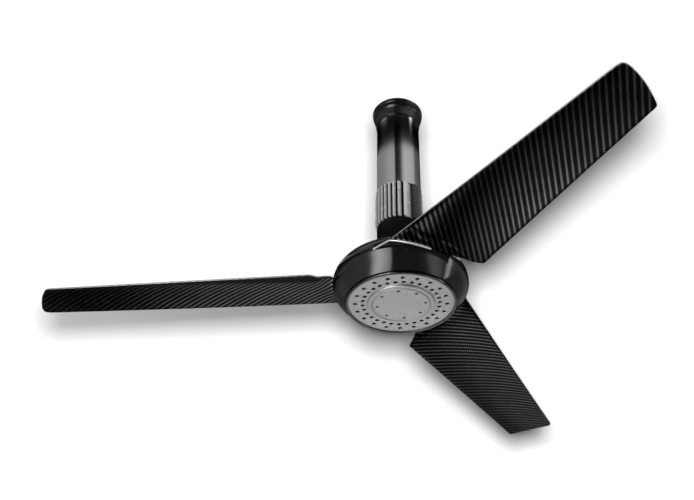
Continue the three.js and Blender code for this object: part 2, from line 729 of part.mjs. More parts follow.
// Stator core: teeth with shoes round a yoke, grown by a margin for the winding's cut
function statorCore(margin = 0) {
  const low = CORE_RISE - margin;
  const high = CORE_RISE + CORE_HEIGHT + margin;
  const yoke = solid(rod(CORE_YOKE_RADIUS + margin, low, high, INNER_SIDES));
  const shoeInner = CORE_RADIUS - TOOTH_SHOE_HEIGHT - margin;
  const shoeRing = solid(turned([
    [shoeInner, low],
    [CORE_RADIUS + margin, low],
    [CORE_RADIUS + margin, high],
    [shoeInner, high],
  ], CORE_TEETH * 2));
  const half = TOOTH_WIDTH / 2 + margin;
  const gapHalf = TOOTH_SHOE_GAP / 2 - margin;
  const teeth = [];
  const gaps = [];
  for (let k = 0; k < CORE_TEETH; k += 1) {
    const angle = k * 2 * Math.PI / CORE_TEETH;
    const tooth = block([0, -half, low], [CORE_RADIUS - TOOTH_SHOE_HEIGHT / 2, half, high]);
    teeth.push(solid(tooth.rotateZ(angle)));
    const opening = block(
      [shoeInner - OVERRUN, -gapHalf, low - OVERRUN],
      [CORE_RADIUS + OVERRUN, gapHalf, high + OVERRUN],
    );
    gaps.push(solid(opening.rotateZ(angle + Math.PI / CORE_TEETH)));
  }
  const shoes = cut(shoeRing, gaps);
  const bore = solid(rod(SHAFT_RADIUS + GAP, low - OVERRUN, high + OVERRUN, INNER_SIDES));
  return cut(joined([yoke, ...teeth, shoes]), [bore]);
}

// Winding: copper round every tooth, filling the slots and standing above and below the core
function statorWinding() {
  const low = CORE_RISE - WINDING_OVERHANG;
  const high = CORE_RISE + CORE_HEIGHT + WINDING_OVERHANG;
  const outer = CORE_RADIUS - WINDING_INSET;
  const ring = solid(turned([
    [WINDING_INNER, low],
    [outer, low],
    [outer, high],
    [WINDING_INNER, high],
  ], CORE_TEETH * 2));
  return cut(ring, [statorCore(GAP)]);
}

// Rotor cup: top plate with the upper bearing seat, side wall and the blade flange
function rotorCup() {
  const flange = bowlInner(FLANGE_TOP - FLANGE_SHEET) - FLANGE_INSET;
  const seat = BEARING_RADIUS + GAP;
  const floor = CUP_TOP + GAP;
  const wallFoot = END_PLATE_RISE + END_PLATE_SHEET + GAP;
  const cup = solid(turned([
    [SHAFT_RADIUS + SEAT_WALL, CUP_TOP_RISE],
    [CUP_RADIUS - CUP_WALL, CUP_TOP_RISE],
    [CUP_RADIUS - CUP_WALL, wallFoot],
    [CUP_RADIUS, wallFoot],
    [CUP_RADIUS, FLANGE_TOP - FLANGE_SHEET],
    [flange, FLANGE_TOP - FLANGE_SHEET],
    [flange, FLANGE_TOP],
    [CUP_RADIUS, FLANGE_TOP],
    [CUP_RADIUS, CUP_TOP],
    [seat + SEAT_WALL, CUP_TOP],
    [seat + SEAT_WALL, floor + BEARING_WIDTH],
    [seat, floor + BEARING_WIDTH],
    [seat, floor],
    [SHAFT_RADIUS + SEAT_WALL, floor],
  ], INNER_SIDES));
  const holes = [];
  for (let k = 0; k < BLADES; k += 1) {
    holes.push(...bladeScrewHoles().map((hole) => solid(hole.rotateZ(bladeTurn(k)))));
  }
  return cut(cup, holes);
}

function rotorEndPlate() {
  const seat = BEARING_RADIUS + GAP;
  const seatFoot = END_PLATE_RISE - BEARING_WIDTH;
  const top = END_PLATE_RISE + END_PLATE_SHEET;
  const plate = solid(turned([
    [SHAFT_RADIUS + SEAT_WALL, END_PLATE_RISE],
    [seat, END_PLATE_RISE],
    [seat, seatFoot],
    [seat + SEAT_WALL, seatFoot],
    [seat + SEAT_WALL, END_PLATE_RISE],
    [CUP_RADIUS - GAP, END_PLATE_RISE],
    [CUP_RADIUS - GAP, top],
    [SHAFT_RADIUS + SEAT_WALL, top],
  ], INNER_SIDES));
  const foot = discRise() + DISC_SHEET + GAP;
  const middle = END_PLATE_RISE + END_PLATE_SHEET / 2;
  const boss = solid(rod(BOSS_RADIUS, foot, middle));
  const bosses = centreScrewPlaces().map(({ x, y }) => boss.translate([x, y, 0]));
  const holes = centreScrewHoles(CENTRE_SCREW_RADIUS + GAP, -OVERRUN, top + OVERRUN);
  return cut(joined([plate, ...bosses]), holes);
}

function magnetRing() {
  const low = CORE_RISE + CORE_HEIGHT / 2 - MAGNET_HEIGHT / 2;
  return turned([
    [MAGNET_INNER, low],
    [MAGNET_OUTER, low],
    [MAGNET_OUTER, low + MAGNET_HEIGHT],
    [MAGNET_INNER, low + MAGNET_HEIGHT],
  ], INNER_SIDES);
}

// Bowl outline: a bulging arc from the bezel up to the rim, moved inward by an inset
function bowlLine(inset) {
  const points = [];
  const foot = BEZEL_FACE_RISE + BEZEL_HEIGHT + GAP;
  for (let k = 0; k <= BOWL_STEPS; k += 1) {
    const share = k / BOWL_STEPS;
    const chord = BOWL_BOTTOM_RADIUS + (HOUSING_RADIUS - BOWL_BOTTOM_RADIUS) * share;
    const bulge = 4 * BOWL_BULGE * share * (1 - share);
    points.push([chord + bulge - inset, foot + (RIM_TOP - foot) * share]);
  }
  return points;
}

// The bowl's inner radius at a height
function bowlInner(height) {
  const line = bowlLine(HOUSING_WALL);
  const above = line.findIndex((point) => point[1] >= height);
  const [low, high] = [line[above - 1], line[above]];
  const share = (height - low[1]) / (high[1] - low[1]);
  return low[0] + (high[0] - low[0]) * share;
}

// Lower housing: the bowl, with a rim that rises to a peak in the notch below each blade
function lowerHousing() {
  const peak = rimPeak();
  const peaks = [];
  for (let k = 0; k < BLADES; k += 1) {
    peaks.push(peak.rotate([0, 0, THREE.MathUtils.radToDeg(bladeTurn(k))]));
  }
  return joined([solid(bowl()), ...peaks]);
}

function bowl() {
  const shelfTop = FLANGE_TOP - FLANGE_SHEET - GAP;
  const shelfLow = shelfTop - SHELF_SHEET;
  const shelfInner = bowlInner(shelfTop) - SHELF_WIDTH;
  const inner = bowlLine(HOUSING_WALL).reverse();
  return turned([
    ...bowlLine(0),
    ...inner.filter((point) => point[1] > shelfTop),
    [bowlInner(shelfTop), shelfTop],
    [shelfInner, shelfTop],
    [shelfInner, shelfLow],
    [bowlInner(shelfLow), shelfLow],
    ...inner.filter((point) => point[1] < shelfLow),
  ]);
}

// Shoulder outline: a short band and a quarter ellipse up to the crest
function shoulderLine(inset, steps = SHOULDER_STEPS) {
  const bandTop = BOWL_DEPTH + SHOULDER_BAND;
  const across = HOUSING_RADIUS - SHOULDER_CREST_RADIUS - inset;
  const up = HOUSING_TOP - SHOULDER_CREST_DROP - bandTop - inset;
  const points = [];
  for (let k = 0; k <= steps; k += 1) {
    const angle = (k / steps) * Math.PI / 2;
    points.push([SHOULDER_CREST_RADIUS + across * Math.cos(angle), bandTop + up * Math.sin(angle)]);
  }
  return points;
}

function upperHousing() {
  const lipFoot = BOWL_DEPTH - LIP_HEIGHT;
  const lipOuter = bowlInner(lipFoot) - GAP;
  const lipInner = lipOuter - HOUSING_WALL;
  const underTop = HOUSING_TOP - HOUSING_WALL;
  const skirtFoot = CUP_TOP + GAP;
  const shell = solid(turned([
    [lipInner, lipFoot],
    [lipOuter, lipFoot],
    [lipOuter, BOWL_DEPTH],
    [HOUSING_RADIUS, BOWL_DEPTH],
    ...shoulderLine(0),
    [SHOULDER_FLAT_RADIUS, HOUSING_TOP],
    [SHOULDER_OPENING, HOUSING_TOP],
    [SHOULDER_OPENING, underTop],
    [SKIRT_RADIUS - HOUSING_WALL, underTop],
    [SKIRT_RADIUS - HOUSING_WALL, skirtFoot],
    [SKIRT_RADIUS, skirtFoot],
    [SKIRT_RADIUS, underTop - HOUSING_WALL],
    ...shoulderLine(HOUSING_WALL, SHOULDER_STEPS / 2).reverse(),
    [lipInner, BOWL_DEPTH + SHOULDER_BAND],
  ]));
  const cuts = [];
  for (let k = 0; k < BLADES; k += 1) {
    cuts.push(bladeSlot().rotate([0, 0, THREE.MathUtils.radToDeg(bladeTurn(k))]));
  }
  return cut(shell, cuts);
}

// The disc's own heights
function discRise() {
  return BEZEL_FACE_RISE + LEDGE_SHEET + GAP;
}

function bezelRing() {
  const low = BEZEL_FACE_RISE;
  const top = low + BEZEL_HEIGHT;
  const recess = BEZEL_LEDGE_RADIUS + LEDGE_OVERLAP + GAP;
  return turned([
    [BEZEL_LEDGE_RADIUS, low],
    [BEZEL_RADIUS - BEZEL_EDGE, low],
    [BEZEL_RADIUS, low + BEZEL_EDGE],
    [BEZEL_RADIUS, top],
    [recess, top],
    [recess, low + LEDGE_SHEET],
    [BEZEL_LEDGE_RADIUS, low + LEDGE_SHEET],
  ]);
}

// The corners of a regular polygon, as a closed path
function ringPath(x, y, radius, sides) {
  const corners = [];
  for (let k = 0; k < sides; k += 1) {
    const angle = k * 2 * Math.PI / sides;
    corners.push(new THREE.Vector2(x + radius * Math.cos(angle), y + radius * Math.sin(angle)));
  }
  return corners;
}

// Places of a number of holes on a circle, from the first hole's azimuth
function onCircle(count, radius) {
  const places = [];
  for (let k = 0; k < count; k += 1) {
    const angle = radians(HOLE_START) + k * 2 * Math.PI / count;
    places.push({ x: radius * Math.cos(angle), y: radius * Math.sin(angle) });
  }
  return places;
}

// Perforated ring: two circles of round holes
function ventPlate() {
  const outer = BEZEL_LEDGE_RADIUS + LEDGE_OVERLAP;
  const shape = new THREE.Shape(ringPath(0, 0, outer, ROUND_SIDES));
  shape.holes.push(new THREE.Path(ringPath(0, 0, DISC_BORE, INNER_SIDES)));
  const places = [
    ...onCircle(OUTER_HOLES, OUTER_HOLE_CIRCLE),
    ...onCircle(INNER_HOLES, INNER_HOLE_CIRCLE),
  ];
  places.forEach(({ x, y }) => {
    shape.holes.push(new THREE.Path(ringPath(x, y, HOLE_RADIUS, HOLE_SIDES)));
  });
  const sheet = new THREE.ExtrudeGeometry(shape, { depth: DISC_SHEET, bevelEnabled: false });
  const plate = solid(sheet.translate(0, 0, discRise()));
  return cut(plate, centreScrewHoles(CENTRE_SCREW_RADIUS + GAP, -OVERRUN, OVERRUN + DISC_SHEET));
}

function centreScrewPlaces() {
  return onCircle(CENTRE_SCREWS, CENTRE_SCREW_CIRCLE);
}

function centreScrewHoles(radius, from, to) {
  const hole = solid(rod(radius, from, to));
  return centreScrewPlaces().map(({ x, y }) => hole.translate([x, y, 0]));
}

// Centre plate with a pressed bead near its edge and a counterbore for each screw
function centrePlate() {
  const beadOuter = CENTRE_RADIUS - BEAD_INSET + BEAD_WIDTH;
  const beadInner = CENTRE_RADIUS - BEAD_INSET - BEAD_WIDTH;
  const plate = solid(turned([
    [0, 0],
    [beadInner, 0],
    [beadInner + BEAD_DEPTH, BEAD_DEPTH],
    [beadOuter - BEAD_DEPTH, BEAD_DEPTH],
    [beadOuter, 0],
    [CENTRE_RADIUS - BEAD_DEPTH, 0],
    [CENTRE_RADIUS, BEAD_DEPTH],
    [CENTRE_RADIUS, CENTRE_SHEET],
    [0, CENTRE_SHEET],
  ]));
  const seat = CENTRE_SCREW_HEAD_HEIGHT + GAP;
  return cut(plate, [
    ...centreScrewHoles(CENTRE_SCREW_HEAD + GAP, -OVERRUN, seat),
    ...centreScrewHoles(CENTRE_SCREW_RADIUS + GAP, -OVERRUN, CENTRE_SHEET + OVERRUN),
  ]);
}

function centreScrew() {
  const height = CENTRE_SCREW_HEAD_HEIGHT;
  const screw = headed(CENTRE_SCREW_RADIUS, CENTRE_SCREW_HEAD, height, CENTRE_SCREW_LENGTH);
  return screw.rotateX(Math.PI).translate(0, 0, height);
}

function bladeTurn(k) {
  return radians(FIRST_BLADE_AZIMUTH) + k * 2 * Math.PI / BLADES;
}

// The larger of two heights with a soft bend between them
function softMax(first, second) {
  const apart = Math.hypot(first - second, BLADE_BEND_SOFTNESS);
  return (first + second + apart) / 2;
}

// Height of the blade's middle surface: pitched, twisted, drooping and cambered,
// with a root that levels out over the rim of the bowl
function bladeHeight(u, v) {
  const along = THREE.MathUtils.clamp((u - BLADE_ROOT_OUT) / BLADE_DROOP_SPAN, 0, 1);
  const pitch = radians(THREE.MathUtils.lerp(BLADE_ROOT_PITCH, BLADE_TIP_PITCH, along));
  const plane = BLADE_ROOT_RISE - BLADE_DROOP * (u - BLADE_ROOT_OUT) / BLADE_DROOP_SPAN
    - v * Math.tan(pitch);
  const free = THREE.MathUtils.smoothstep(Math.hypot(u, v), BLADE_BEND_START, BLADE_BEND_END);
  const chord = THREE.MathUtils.clamp(v / bladeHalfChord(along), -1, 1);
  const camber = free * BLADE_CAMBER * (1 - chord * chord);
  return THREE.MathUtils.lerp(softMax(plane, BLADE_FLAT), plane, free) + camber;
}

function bladeHalfChord(along) {
  const root = BLADE_HEEL_TRAILING;
  const tip = (BLADE_TIP_TRAILING - BLADE_TIP_LEADING) / 2;
  return THREE.MathUtils.lerp(root, tip, along);
}

// Stations along the blade: close together at the bent root, wide apart beyond it
function bladeStation(step) {
  const start = BLADE_INNER - OVERRUN;
  const middle = BLADE_BEND_END + OVERRUN;
  if (step <= BLADE_ROOT_STEPS) {
    return THREE.MathUtils.lerp(start, middle, step / BLADE_ROOT_STEPS);
  }
  const along = (step - BLADE_ROOT_STEPS) / BLADE_SPAN_STEPS;
  return THREE.MathUtils.lerp(middle, BLADE_TIP_REACH + OVERRUN, along);
}

// A slab that follows the blade's surface between two offsets from its middle
function bladeSlab(below, above) {
  const steps = BLADE_ROOT_STEPS + BLADE_SPAN_STEPS;
  const geometry = new THREE.BoxGeometry(1, 2 * BLADE_HALF_SPAN, 1, steps, BLADE_CHORD_STEPS, 1);
  const position = geometry.attributes.position;
  for (let i = 0; i < position.count; i += 1) {
    const u = bladeStation(Math.round((position.getX(i) + 1 / 2) * steps));
    const v = position.getY(i);
    const offset = position.getZ(i) > 0 ? above : -below;
    position.setXYZ(i, u, v, bladeHeight(u, v) + offset);
  }
  return solid(geometry);
}

// Outline of the blade seen from above, with rounded corners
function bladeOutline() {
  const shape = new THREE.Shape();
  const corners = [
    [BLADE_INNER, BLADE_TAB_TRAILING, 0],
    [BLADE_INNER, BLADE_TAB_LEADING, 0],
    [BLADE_LEADING_OUT, BLADE_LEADING, BLADE_HEEL_ROUND],
    [BLADE_TIP_LEADING_OUT, BLADE_TIP_LEADING, BLADE_TIP_LEADING_ROUND],
    [
      (BLADE_TIP_LEADING_OUT + BLADE_TIP_TRAILING_OUT) / 2 + BLADE_TIP_BULGE,
      (BLADE_TIP_LEADING + BLADE_TIP_TRAILING) / 2,
      (BLADE_TIP_TRAILING - BLADE_TIP_LEADING) / 3,
    ],
    [BLADE_TIP_TRAILING_OUT, BLADE_TIP_TRAILING, BLADE_TIP_TRAILING_ROUND],
    [BLADE_HEEL_OUT, BLADE_HEEL_TRAILING, BLADE_HEEL_ROUND],
    [BLADE_NECK_OUT, BLADE_NECK_TRAILING, BLADE_HEEL_ROUND],
  ].map(([u, v, round]) => ({ at: new THREE.Vector2(u, v), round }));
  corners.forEach(({ at, round }, i) => {
    const before = corners.at(i - 1).at;
    const after = corners[(i + 1) % corners.length].at;
    const start = at.clone().add(before.clone().sub(at).setLength(round));
    const end = at.clone().add(after.clone().sub(at).setLength(round));
    if (i === 0) {
      shape.moveTo(start.x, start.y);
    } else {
      shape.lineTo(start.x, start.y);
    }
    if (round > 0) {
      shape.quadraticCurveTo(at.x, at.y, end.x, end.y);
    }
  });
  return shape;
}

// The blade's outline as a tall prism
function bladePrism() {
  const depth = 4 * HOUSING_TOP;
  const prism = new THREE.ExtrudeGeometry(bladeOutline(), { depth, bevelEnabled: false, curveSegments: 4 });
  return solid(prism.translate(0, 0, -depth / 2));
}

function bladeScrewHoles() {
  return BLADE_SCREW_PLACES.map((v) => {
    const hole = rod(BLADE_SCREW_RADIUS + GAP, -OVERRUN, HOUSING_TOP);
    return hole.translate(BLADE_SCREW_OUT, v, 0);
  });
}

function blade() {
  const skin = bladeSlab(BLADE_THICKNESS / 2, BLADE_THICKNESS / 2).intersect(bladePrism());
  return cut(skin, bladeScrewHoles().map(solid));
}

// Wedge between the flange and the blade's root, which sets the pitch
function bladeBracket() {
  const low = [SEAT_INNER, SEAT_LEADING, FLANGE_TOP + GAP];
  const high = [SEAT_OUTER, SEAT_TRAILING, HOUSING_TOP];
  const above = bladeSlab(BLADE_THICKNESS / 2 + GAP, HOUSING_TOP);
  const start = solid(block(
    [0, -BLADE_HALF_SPAN, BLADE_FLAT - BLADE_THICKNESS],
    [BLADE_INNER, BLADE_HALF_SPAN, HOUSING_TOP],
  ));
  return cut(solid(block(low, high)), [above, start, ...bladeScrewHoles().map(solid)]);
}

function bladeScrewHeight(v) {
  return bladeHeight(BLADE_SCREW_OUT, v - BLADE_SCREW_HEAD) + BLADE_THICKNESS / 2 + GAP;
}

function bladeScrew(v) {
  const head = bladeScrewHeight(v);
  const length = head - FLANGE_TOP + FLANGE_SHEET + BLADE_SCREW_TAIL;
  const screw = headed(BLADE_SCREW_RADIUS, BLADE_SCREW_HEAD, BLADE_SCREW_HEAD_HEIGHT, length);
  return screw.translate(0, 0, head);
}

// The notch beside the leading edge, as an outline in v and height
function notchLine(inset) {
  const foot = BOWL_DEPTH + GAP;
  const apex = BLADE_LEADING - SLOT_CLEARANCE;
  const rise = bladeHeight(BLADE_LEADING_OUT, BLADE_LEADING) + BLADE_THICKNESS / 2 + SLOT_CLEARANCE;
  return { foot, outer: NOTCH_FOOT + inset, apex, rise: rise - inset };
}

// Cut in the shoulder: the blade's own slot and the notch beside it
function bladeSlot() {
  const deep = BOWL_DEPTH - LIP_HEIGHT - GAP;
  const slot = bladeSlab(BLADE_THICKNESS / 2, BLADE_THICKNESS / 2 + SLOT_CLEARANCE);
  const under = bladeSlab(HOUSING_TOP, 0);
  const window = solid(block(
    [BLADE_INNER - OVERRUN, BLADE_LEADING - SLOT_CLEARANCE, deep],
    [HOUSING_RADIUS + OVERRUN, BLADE_NECK_TRAILING + SLOT_CLEARANCE, HOUSING_TOP],
  ));
  const { outer, apex, rise } = notchLine(0);
  const notch = solid(prismAlongU([
    [outer * NOTCH_SHARE, deep],
    [apex, rise],
    [apex + OVERRUN, rise],
    [apex + OVERRUN, deep],
  ], HOUSING_RADIUS / 2, HOUSING_RADIUS + OVERRUN));
  return slot.add(under).intersect(window).add(notch);
}

// Where the trim's leg stands in the notch, as an outline in v and height
function trimLeg() {
  const { foot, outer, apex, rise } = notchLine(GAP + GAP);
  const slope = (rise - foot) / (apex - outer);
  const across = TRIM_WIDTH * Math.hypot(1, 1 / slope);
  const start = outer + TRIM_WIDTH;
  return { foot, start, end: start + across, knee: BLADE_LEADING - GAP, apex, rise };
}

// The part of the shoulder's shell that belongs to the bowl: all that the trim stands round
function rimPeak() {
  const { foot, end, knee, rise } = trimLeg();
  const low = RIM_TOP - PEAK_ROOT;
  const top = rise - TRIM_WIDTH - TRIM_WIDTH - GAP;
  const prism = solid(prismAlongU([
    [end + GAP - PEAK_ROOT, low],
    [end + GAP, foot],
    [knee + GAP, top],
    [knee + GAP, HOUSING_TOP],
    [TRIM_TRAILING, HOUSING_TOP],
    [TRIM_TRAILING, low],
  ], HOUSING_RADIUS / 2, HOUSING_RADIUS + OVERRUN));
  const under = bladeSlab(HOUSING_TOP, -BLADE_THICKNESS / 2 - GAP - TRIM_WIDTH - GAP);
  const middle = HOUSING_RADIUS - HOUSING_WALL / 2;
  const shell = solid(turned([
    [middle - GAP, low],
    [middle, low],
    [HOUSING_RADIUS, RIM_TOP],
    ...shoulderLine(0),
    ...shoulderLine(HOUSING_WALL).reverse(),
    [HOUSING_RADIUS - HOUSING_WALL, RIM_TOP],
  ]));
  return shell.intersect(prism).intersect(under);
}

// Bright trim: one leg up the notch and one under the blade, bent to the shoulder's surface
function slotTrim() {
  const { foot, start, end, knee, apex, rise } = trimLeg();
  const leg = solid(prismAlongU([
    [start, foot],
    [end, foot],
    [knee, rise - TRIM_WIDTH - TRIM_WIDTH],
    [knee, rise],
    [apex, rise - TRIM_WIDTH / 2],
  ], HOUSING_RADIUS / 2, HOUSING_RADIUS + OVERRUN));
  const under = bladeSlab(BLADE_THICKNESS / 2 + GAP + TRIM_WIDTH, -BLADE_THICKNESS / 2 - GAP);
  const window = solid(block(
    [BLADE_INNER - OVERRUN / 2, knee - TRIM_WIDTH, foot],
    [HOUSING_RADIUS + OVERRUN, TRIM_TRAILING, HOUSING_TOP],
  ));
  const outside = shoulderLine(-TRIM_PROUD);
  const inside = shoulderLine(TRIM_DEPTH).reverse();
  const band = solid(turned([
    [HOUSING_RADIUS - TRIM_DEPTH, foot],
    [HOUSING_RADIUS + TRIM_PROUD, foot],
    ...outside.slice(0, -1),
    ...inside.slice(1),
  ]));
  return leg.add(under.intersect(window)).intersect(band);
}

// The fixed pieces hang from the ceiling and the rotor turns below them
const fan = new THREE.Group();
const stem = new THREE.Group();
const motor = new THREE.Group();
motor.position.z = -FACE_DROP;
const rotor = new THREE.Group();
rotor.position.z = -FACE_DROP;
fan.add(stem, motor, rotor);

const earHalf = ROD_RADIUS + EAR_CLEARANCE + EAR_THICKNESS;
stem.add(piece("ceiling_plate", geometryOf(ceilingPlate()), "steel"));
stem.add(piece("hanger_pin", crossPin(HANGER_PIN_RADIUS, earHalf), "steel", { z: -EAR_DROP }));
stem.add(piece("hanger_pin_clip", pinClip(HANGER_PIN_RADIUS, earHalf), "steel", { z: -EAR_DROP }));
stem.add(piece("canopy", geometryOf(canopy()), "glossBlack"));
stem.add(piece("downrod", geometryOf(downrod()), "darkSteel"));
stem.add(piece("tube_cover", geometryOf(tubeCover()), "blackChrome"));
stem.add(piece("tube_spacer", geometryOf(tubeSpacer()), "plastic", { z: -SPACER_DROP - SPACER_HEIGHT }));
stem.add(piece("terminal_block", geometryOf(terminalBlock()), "plastic", {
  x: earHalf + BLOCK_INSET + BLOCK_LENGTH / 2,
  z: -PLATE_THICKNESS - GAP,
}));
CANOPY_SCREW_AZIMUTHS.forEach((azimuth, i) => {
  const reach = TUBE_RADIUS + GAP + CANOPY_WALL + CANOPY_CUP_FLARE + GAP;
  const geometry = headed(
    CANOPY_SCREW_RADIUS,
    CANOPY_SCREW_HEAD_RADIUS,
    CANOPY_SCREW_HEAD_HEIGHT,
    CANOPY_SCREW_LENGTH,
  );
  geometry.rotateY(Math.PI / 2).translate(reach, 0, 0);
  const place = { z: CANOPY_SCREW_RISE - CANOPY_DROP, turn: radians(azimuth) };
  stem.add(piece(`canopy_screw_${i + 1}`, geometry, "steel", place));
});

motor.add(piece("heat_sink", geometryOf(heatSink().rotate([0, 0, FIN_AZIMUTH])), "polished"));
motor.add(piece("neck_cover", geometryOf(neckCover().rotate([0, 0, FIN_AZIMUTH])), "glossBlack"));
sinkScrewPlaces().forEach(({ x, y }, i) => {
  const screw = headed(
    SINK_SCREW_RADIUS,
    SINK_SCREW_HEAD_RADIUS,
    SINK_SCREW_HEAD_HEIGHT,
    SINK_SCREW_LENGTH + NECK_FLANGE - GAP,
  );
  screw.rotateX(Math.PI).translate(x, y, COUPLING_TOP).rotateZ(radians(FIN_AZIMUTH));
  motor.add(piece(`heat_sink_screw_${i + 1}`, screw, "steel"));
});
motor.add(piece("driver_board", geometryOf(driverBoard()), "board"));
motor.add(piece("driver_bracket", geometryOf(driverBracket()), "steel"));
motor.add(piece("rod_coupling", geometryOf(rodCoupling()), "darkSteel"));
motor.add(piece("coupling_pin", crossPin(PIN_RADIUS, COUPLING_RADIUS), "steel", { z: PIN_LEVEL }));
motor.add(piece("coupling_clip", pinClip(PIN_RADIUS, COUPLING_RADIUS), "steel", { z: PIN_LEVEL }));
motor.add(piece("coupling_bolt", couplingBolt(), "steel", { z: BOLT_LEVEL }));
motor.add(piece("motor_shaft", geometryOf(motorShaft()), "steel"));
motor.add(piece("shaft_nut", geometryOf(shaftNut()), "steel"));
motor.add(piece("stator_core", geometryOf(statorCore()), "darkSteel"));
motor.add(piece("stator_winding", geometryOf(statorWinding()), "copper"));

rotor.add(piece("rotor_cup", geometryOf(rotorCup()), "darkSteel"));
rotor.add(piece("rotor_end_plate", geometryOf(rotorEndPlate()), "darkSteel"));
rotor.add(piece("magnet_ring", magnetRing(), "magnet"));
rotor.add(piece("upper_bearing", bearing(), "steel", { z: CUP_TOP + 2 * GAP }));
rotor.add(piece("lower_bearing", bearing(), "steel", { z: END_PLATE_RISE - GAP - BEARING_WIDTH }));
rotor.add(piece("upper_housing", geometryOf(upperHousing()), "glossBlack"));
rotor.add(piece("lower_housing", geometryOf(lowerHousing()), "glossBlack"));
rotor.add(piece("bezel_ring", bezelRing(), "blackChrome"));
rotor.add(piece("vent_plate", geometryOf(ventPlate()), "spun"));
rotor.add(piece("centre_plate", geometryOf(centrePlate()), "spun"));
centreScrewPlaces().forEach(({ x, y }, i) => {
  rotor.add(piece(`centre_screw_${i + 1}`, centreScrew(), "steel", { x, y }));
});

const bladeGeometry = geometryOf(blade());
const bracketGeometry = geometryOf(bladeBracket());
const trimGeometry = geometryOf(slotTrim());
for (let k = 0; k < BLADES; k += 1) {
  const turn = bladeTurn(k);
  const arm = new THREE.Group();
  arm.rotation.z = turn;
  arm.add(piece(`blade_${k + 1}`, bladeGeometry, "carbon"));
  arm.add(piece(`blade_bracket_${k + 1}`, bracketGeometry, "darkSteel"));
  arm.add(piece(`slot_trim_${k + 1}`, trimGeometry, "polished"));
  BLADE_SCREW_PLACES.forEach((v, i) => {
    const place = { x: BLADE_SCREW_OUT, y: v };
    arm.add(piece(`blade_screw_${2 * k + i + 1}`, bladeScrew(v), "steel", place));
  });
  rotor.add(arm);
}

export default fan;
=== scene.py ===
"""A black ceiling fan: stem tube, finned heat sink, turned motor housing and three carbon blades.

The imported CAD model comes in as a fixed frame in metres, with the ceiling plate's upper face at
the origin. The pieces that show get finer surfaces, worked out from the same sizes, and every
piece and carried node gets a finish made of nodes.
"""

import bmesh
import bpy
import numpy as np
from mathutils import Matrix
from mathutils.geometry import tessellate_polygon


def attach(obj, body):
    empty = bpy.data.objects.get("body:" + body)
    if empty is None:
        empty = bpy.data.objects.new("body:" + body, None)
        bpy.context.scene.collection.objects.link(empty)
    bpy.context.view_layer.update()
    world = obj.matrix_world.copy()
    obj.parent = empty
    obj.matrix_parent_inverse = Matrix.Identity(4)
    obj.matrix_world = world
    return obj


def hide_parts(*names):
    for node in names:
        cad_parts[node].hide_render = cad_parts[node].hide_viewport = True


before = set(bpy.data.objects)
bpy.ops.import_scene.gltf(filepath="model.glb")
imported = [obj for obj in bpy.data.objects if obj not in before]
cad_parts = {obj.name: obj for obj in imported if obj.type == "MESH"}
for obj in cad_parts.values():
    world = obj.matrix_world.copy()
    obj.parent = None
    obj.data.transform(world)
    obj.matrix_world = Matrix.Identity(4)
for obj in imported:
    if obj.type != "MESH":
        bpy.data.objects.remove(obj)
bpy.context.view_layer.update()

# Camera. The photograph looks up at the fan from in front and a little to its right; turn, place
# and lens were fitted to the outlines of the blades, the housing, the tube and the canopy.
PHOTO_WIDTH = 694
SENSOR_WIDTH = 36.0
FOCAL_PIXELS = 920.53
LENS_CENTRE_PIXELS = (93.68, -38.91)
LOOK_UP = np.radians(38.4934)
ROLL = np.radians(-3.2347)
EYE_BACK = 1.6855
EYE_RIGHT = 0.0719
EYE_ABOVE = 0.1719
FAN_DROP = 0.486
FARTHEST_SEEN = 50.0

forward = np.array([0.0, np.cos(LOOK_UP), np.sin(LOOK_UP)])
level = np.array([1.0, 0.0, 0.0])
steep = np.array([0.0, -np.sin(LOOK_UP), np.cos(LOOK_UP)])
right = np.cos(ROLL) * level + np.sin(ROLL) * steep
above = np.cos(ROLL) * steep - np.sin(ROLL) * level
disc_centre = np.array([0.0, 0.0, -FAN_DROP])
eye = disc_centre - EYE_BACK * forward + EYE_RIGHT * right + EYE_ABOVE * above


def placed(x_axis, y_axis, z_axis, origin):
    """Matrix whose columns are three axes and an origin."""
    matrix = np.eye(4)
    matrix[:3, :4] = np.stack([x_axis, y_axis, z_axis, origin], axis=1)
    return Matrix(matrix.tolist())


lens = bpy.data.cameras.new("photo_camera")
lens.sensor_width = SENSOR_WIDTH
lens.lens = FOCAL_PIXELS / PHOTO_WIDTH * SENSOR_WIDTH
lens.shift_x = -LENS_CENTRE_PIXELS[0] / PHOTO_WIDTH
lens.shift_y = LENS_CENTRE_PIXELS[1] / PHOTO_WIDTH
lens.clip_end = FARTHEST_SEEN
camera = bpy.data.objects.new("photo_camera", lens)
camera.matrix_world = placed(right, above, -forward, eye)
scene = bpy.context.scene
scene.collection.objects.link(camera)
scene.camera = camera
scene.view_settings.view_transform = "Standard"


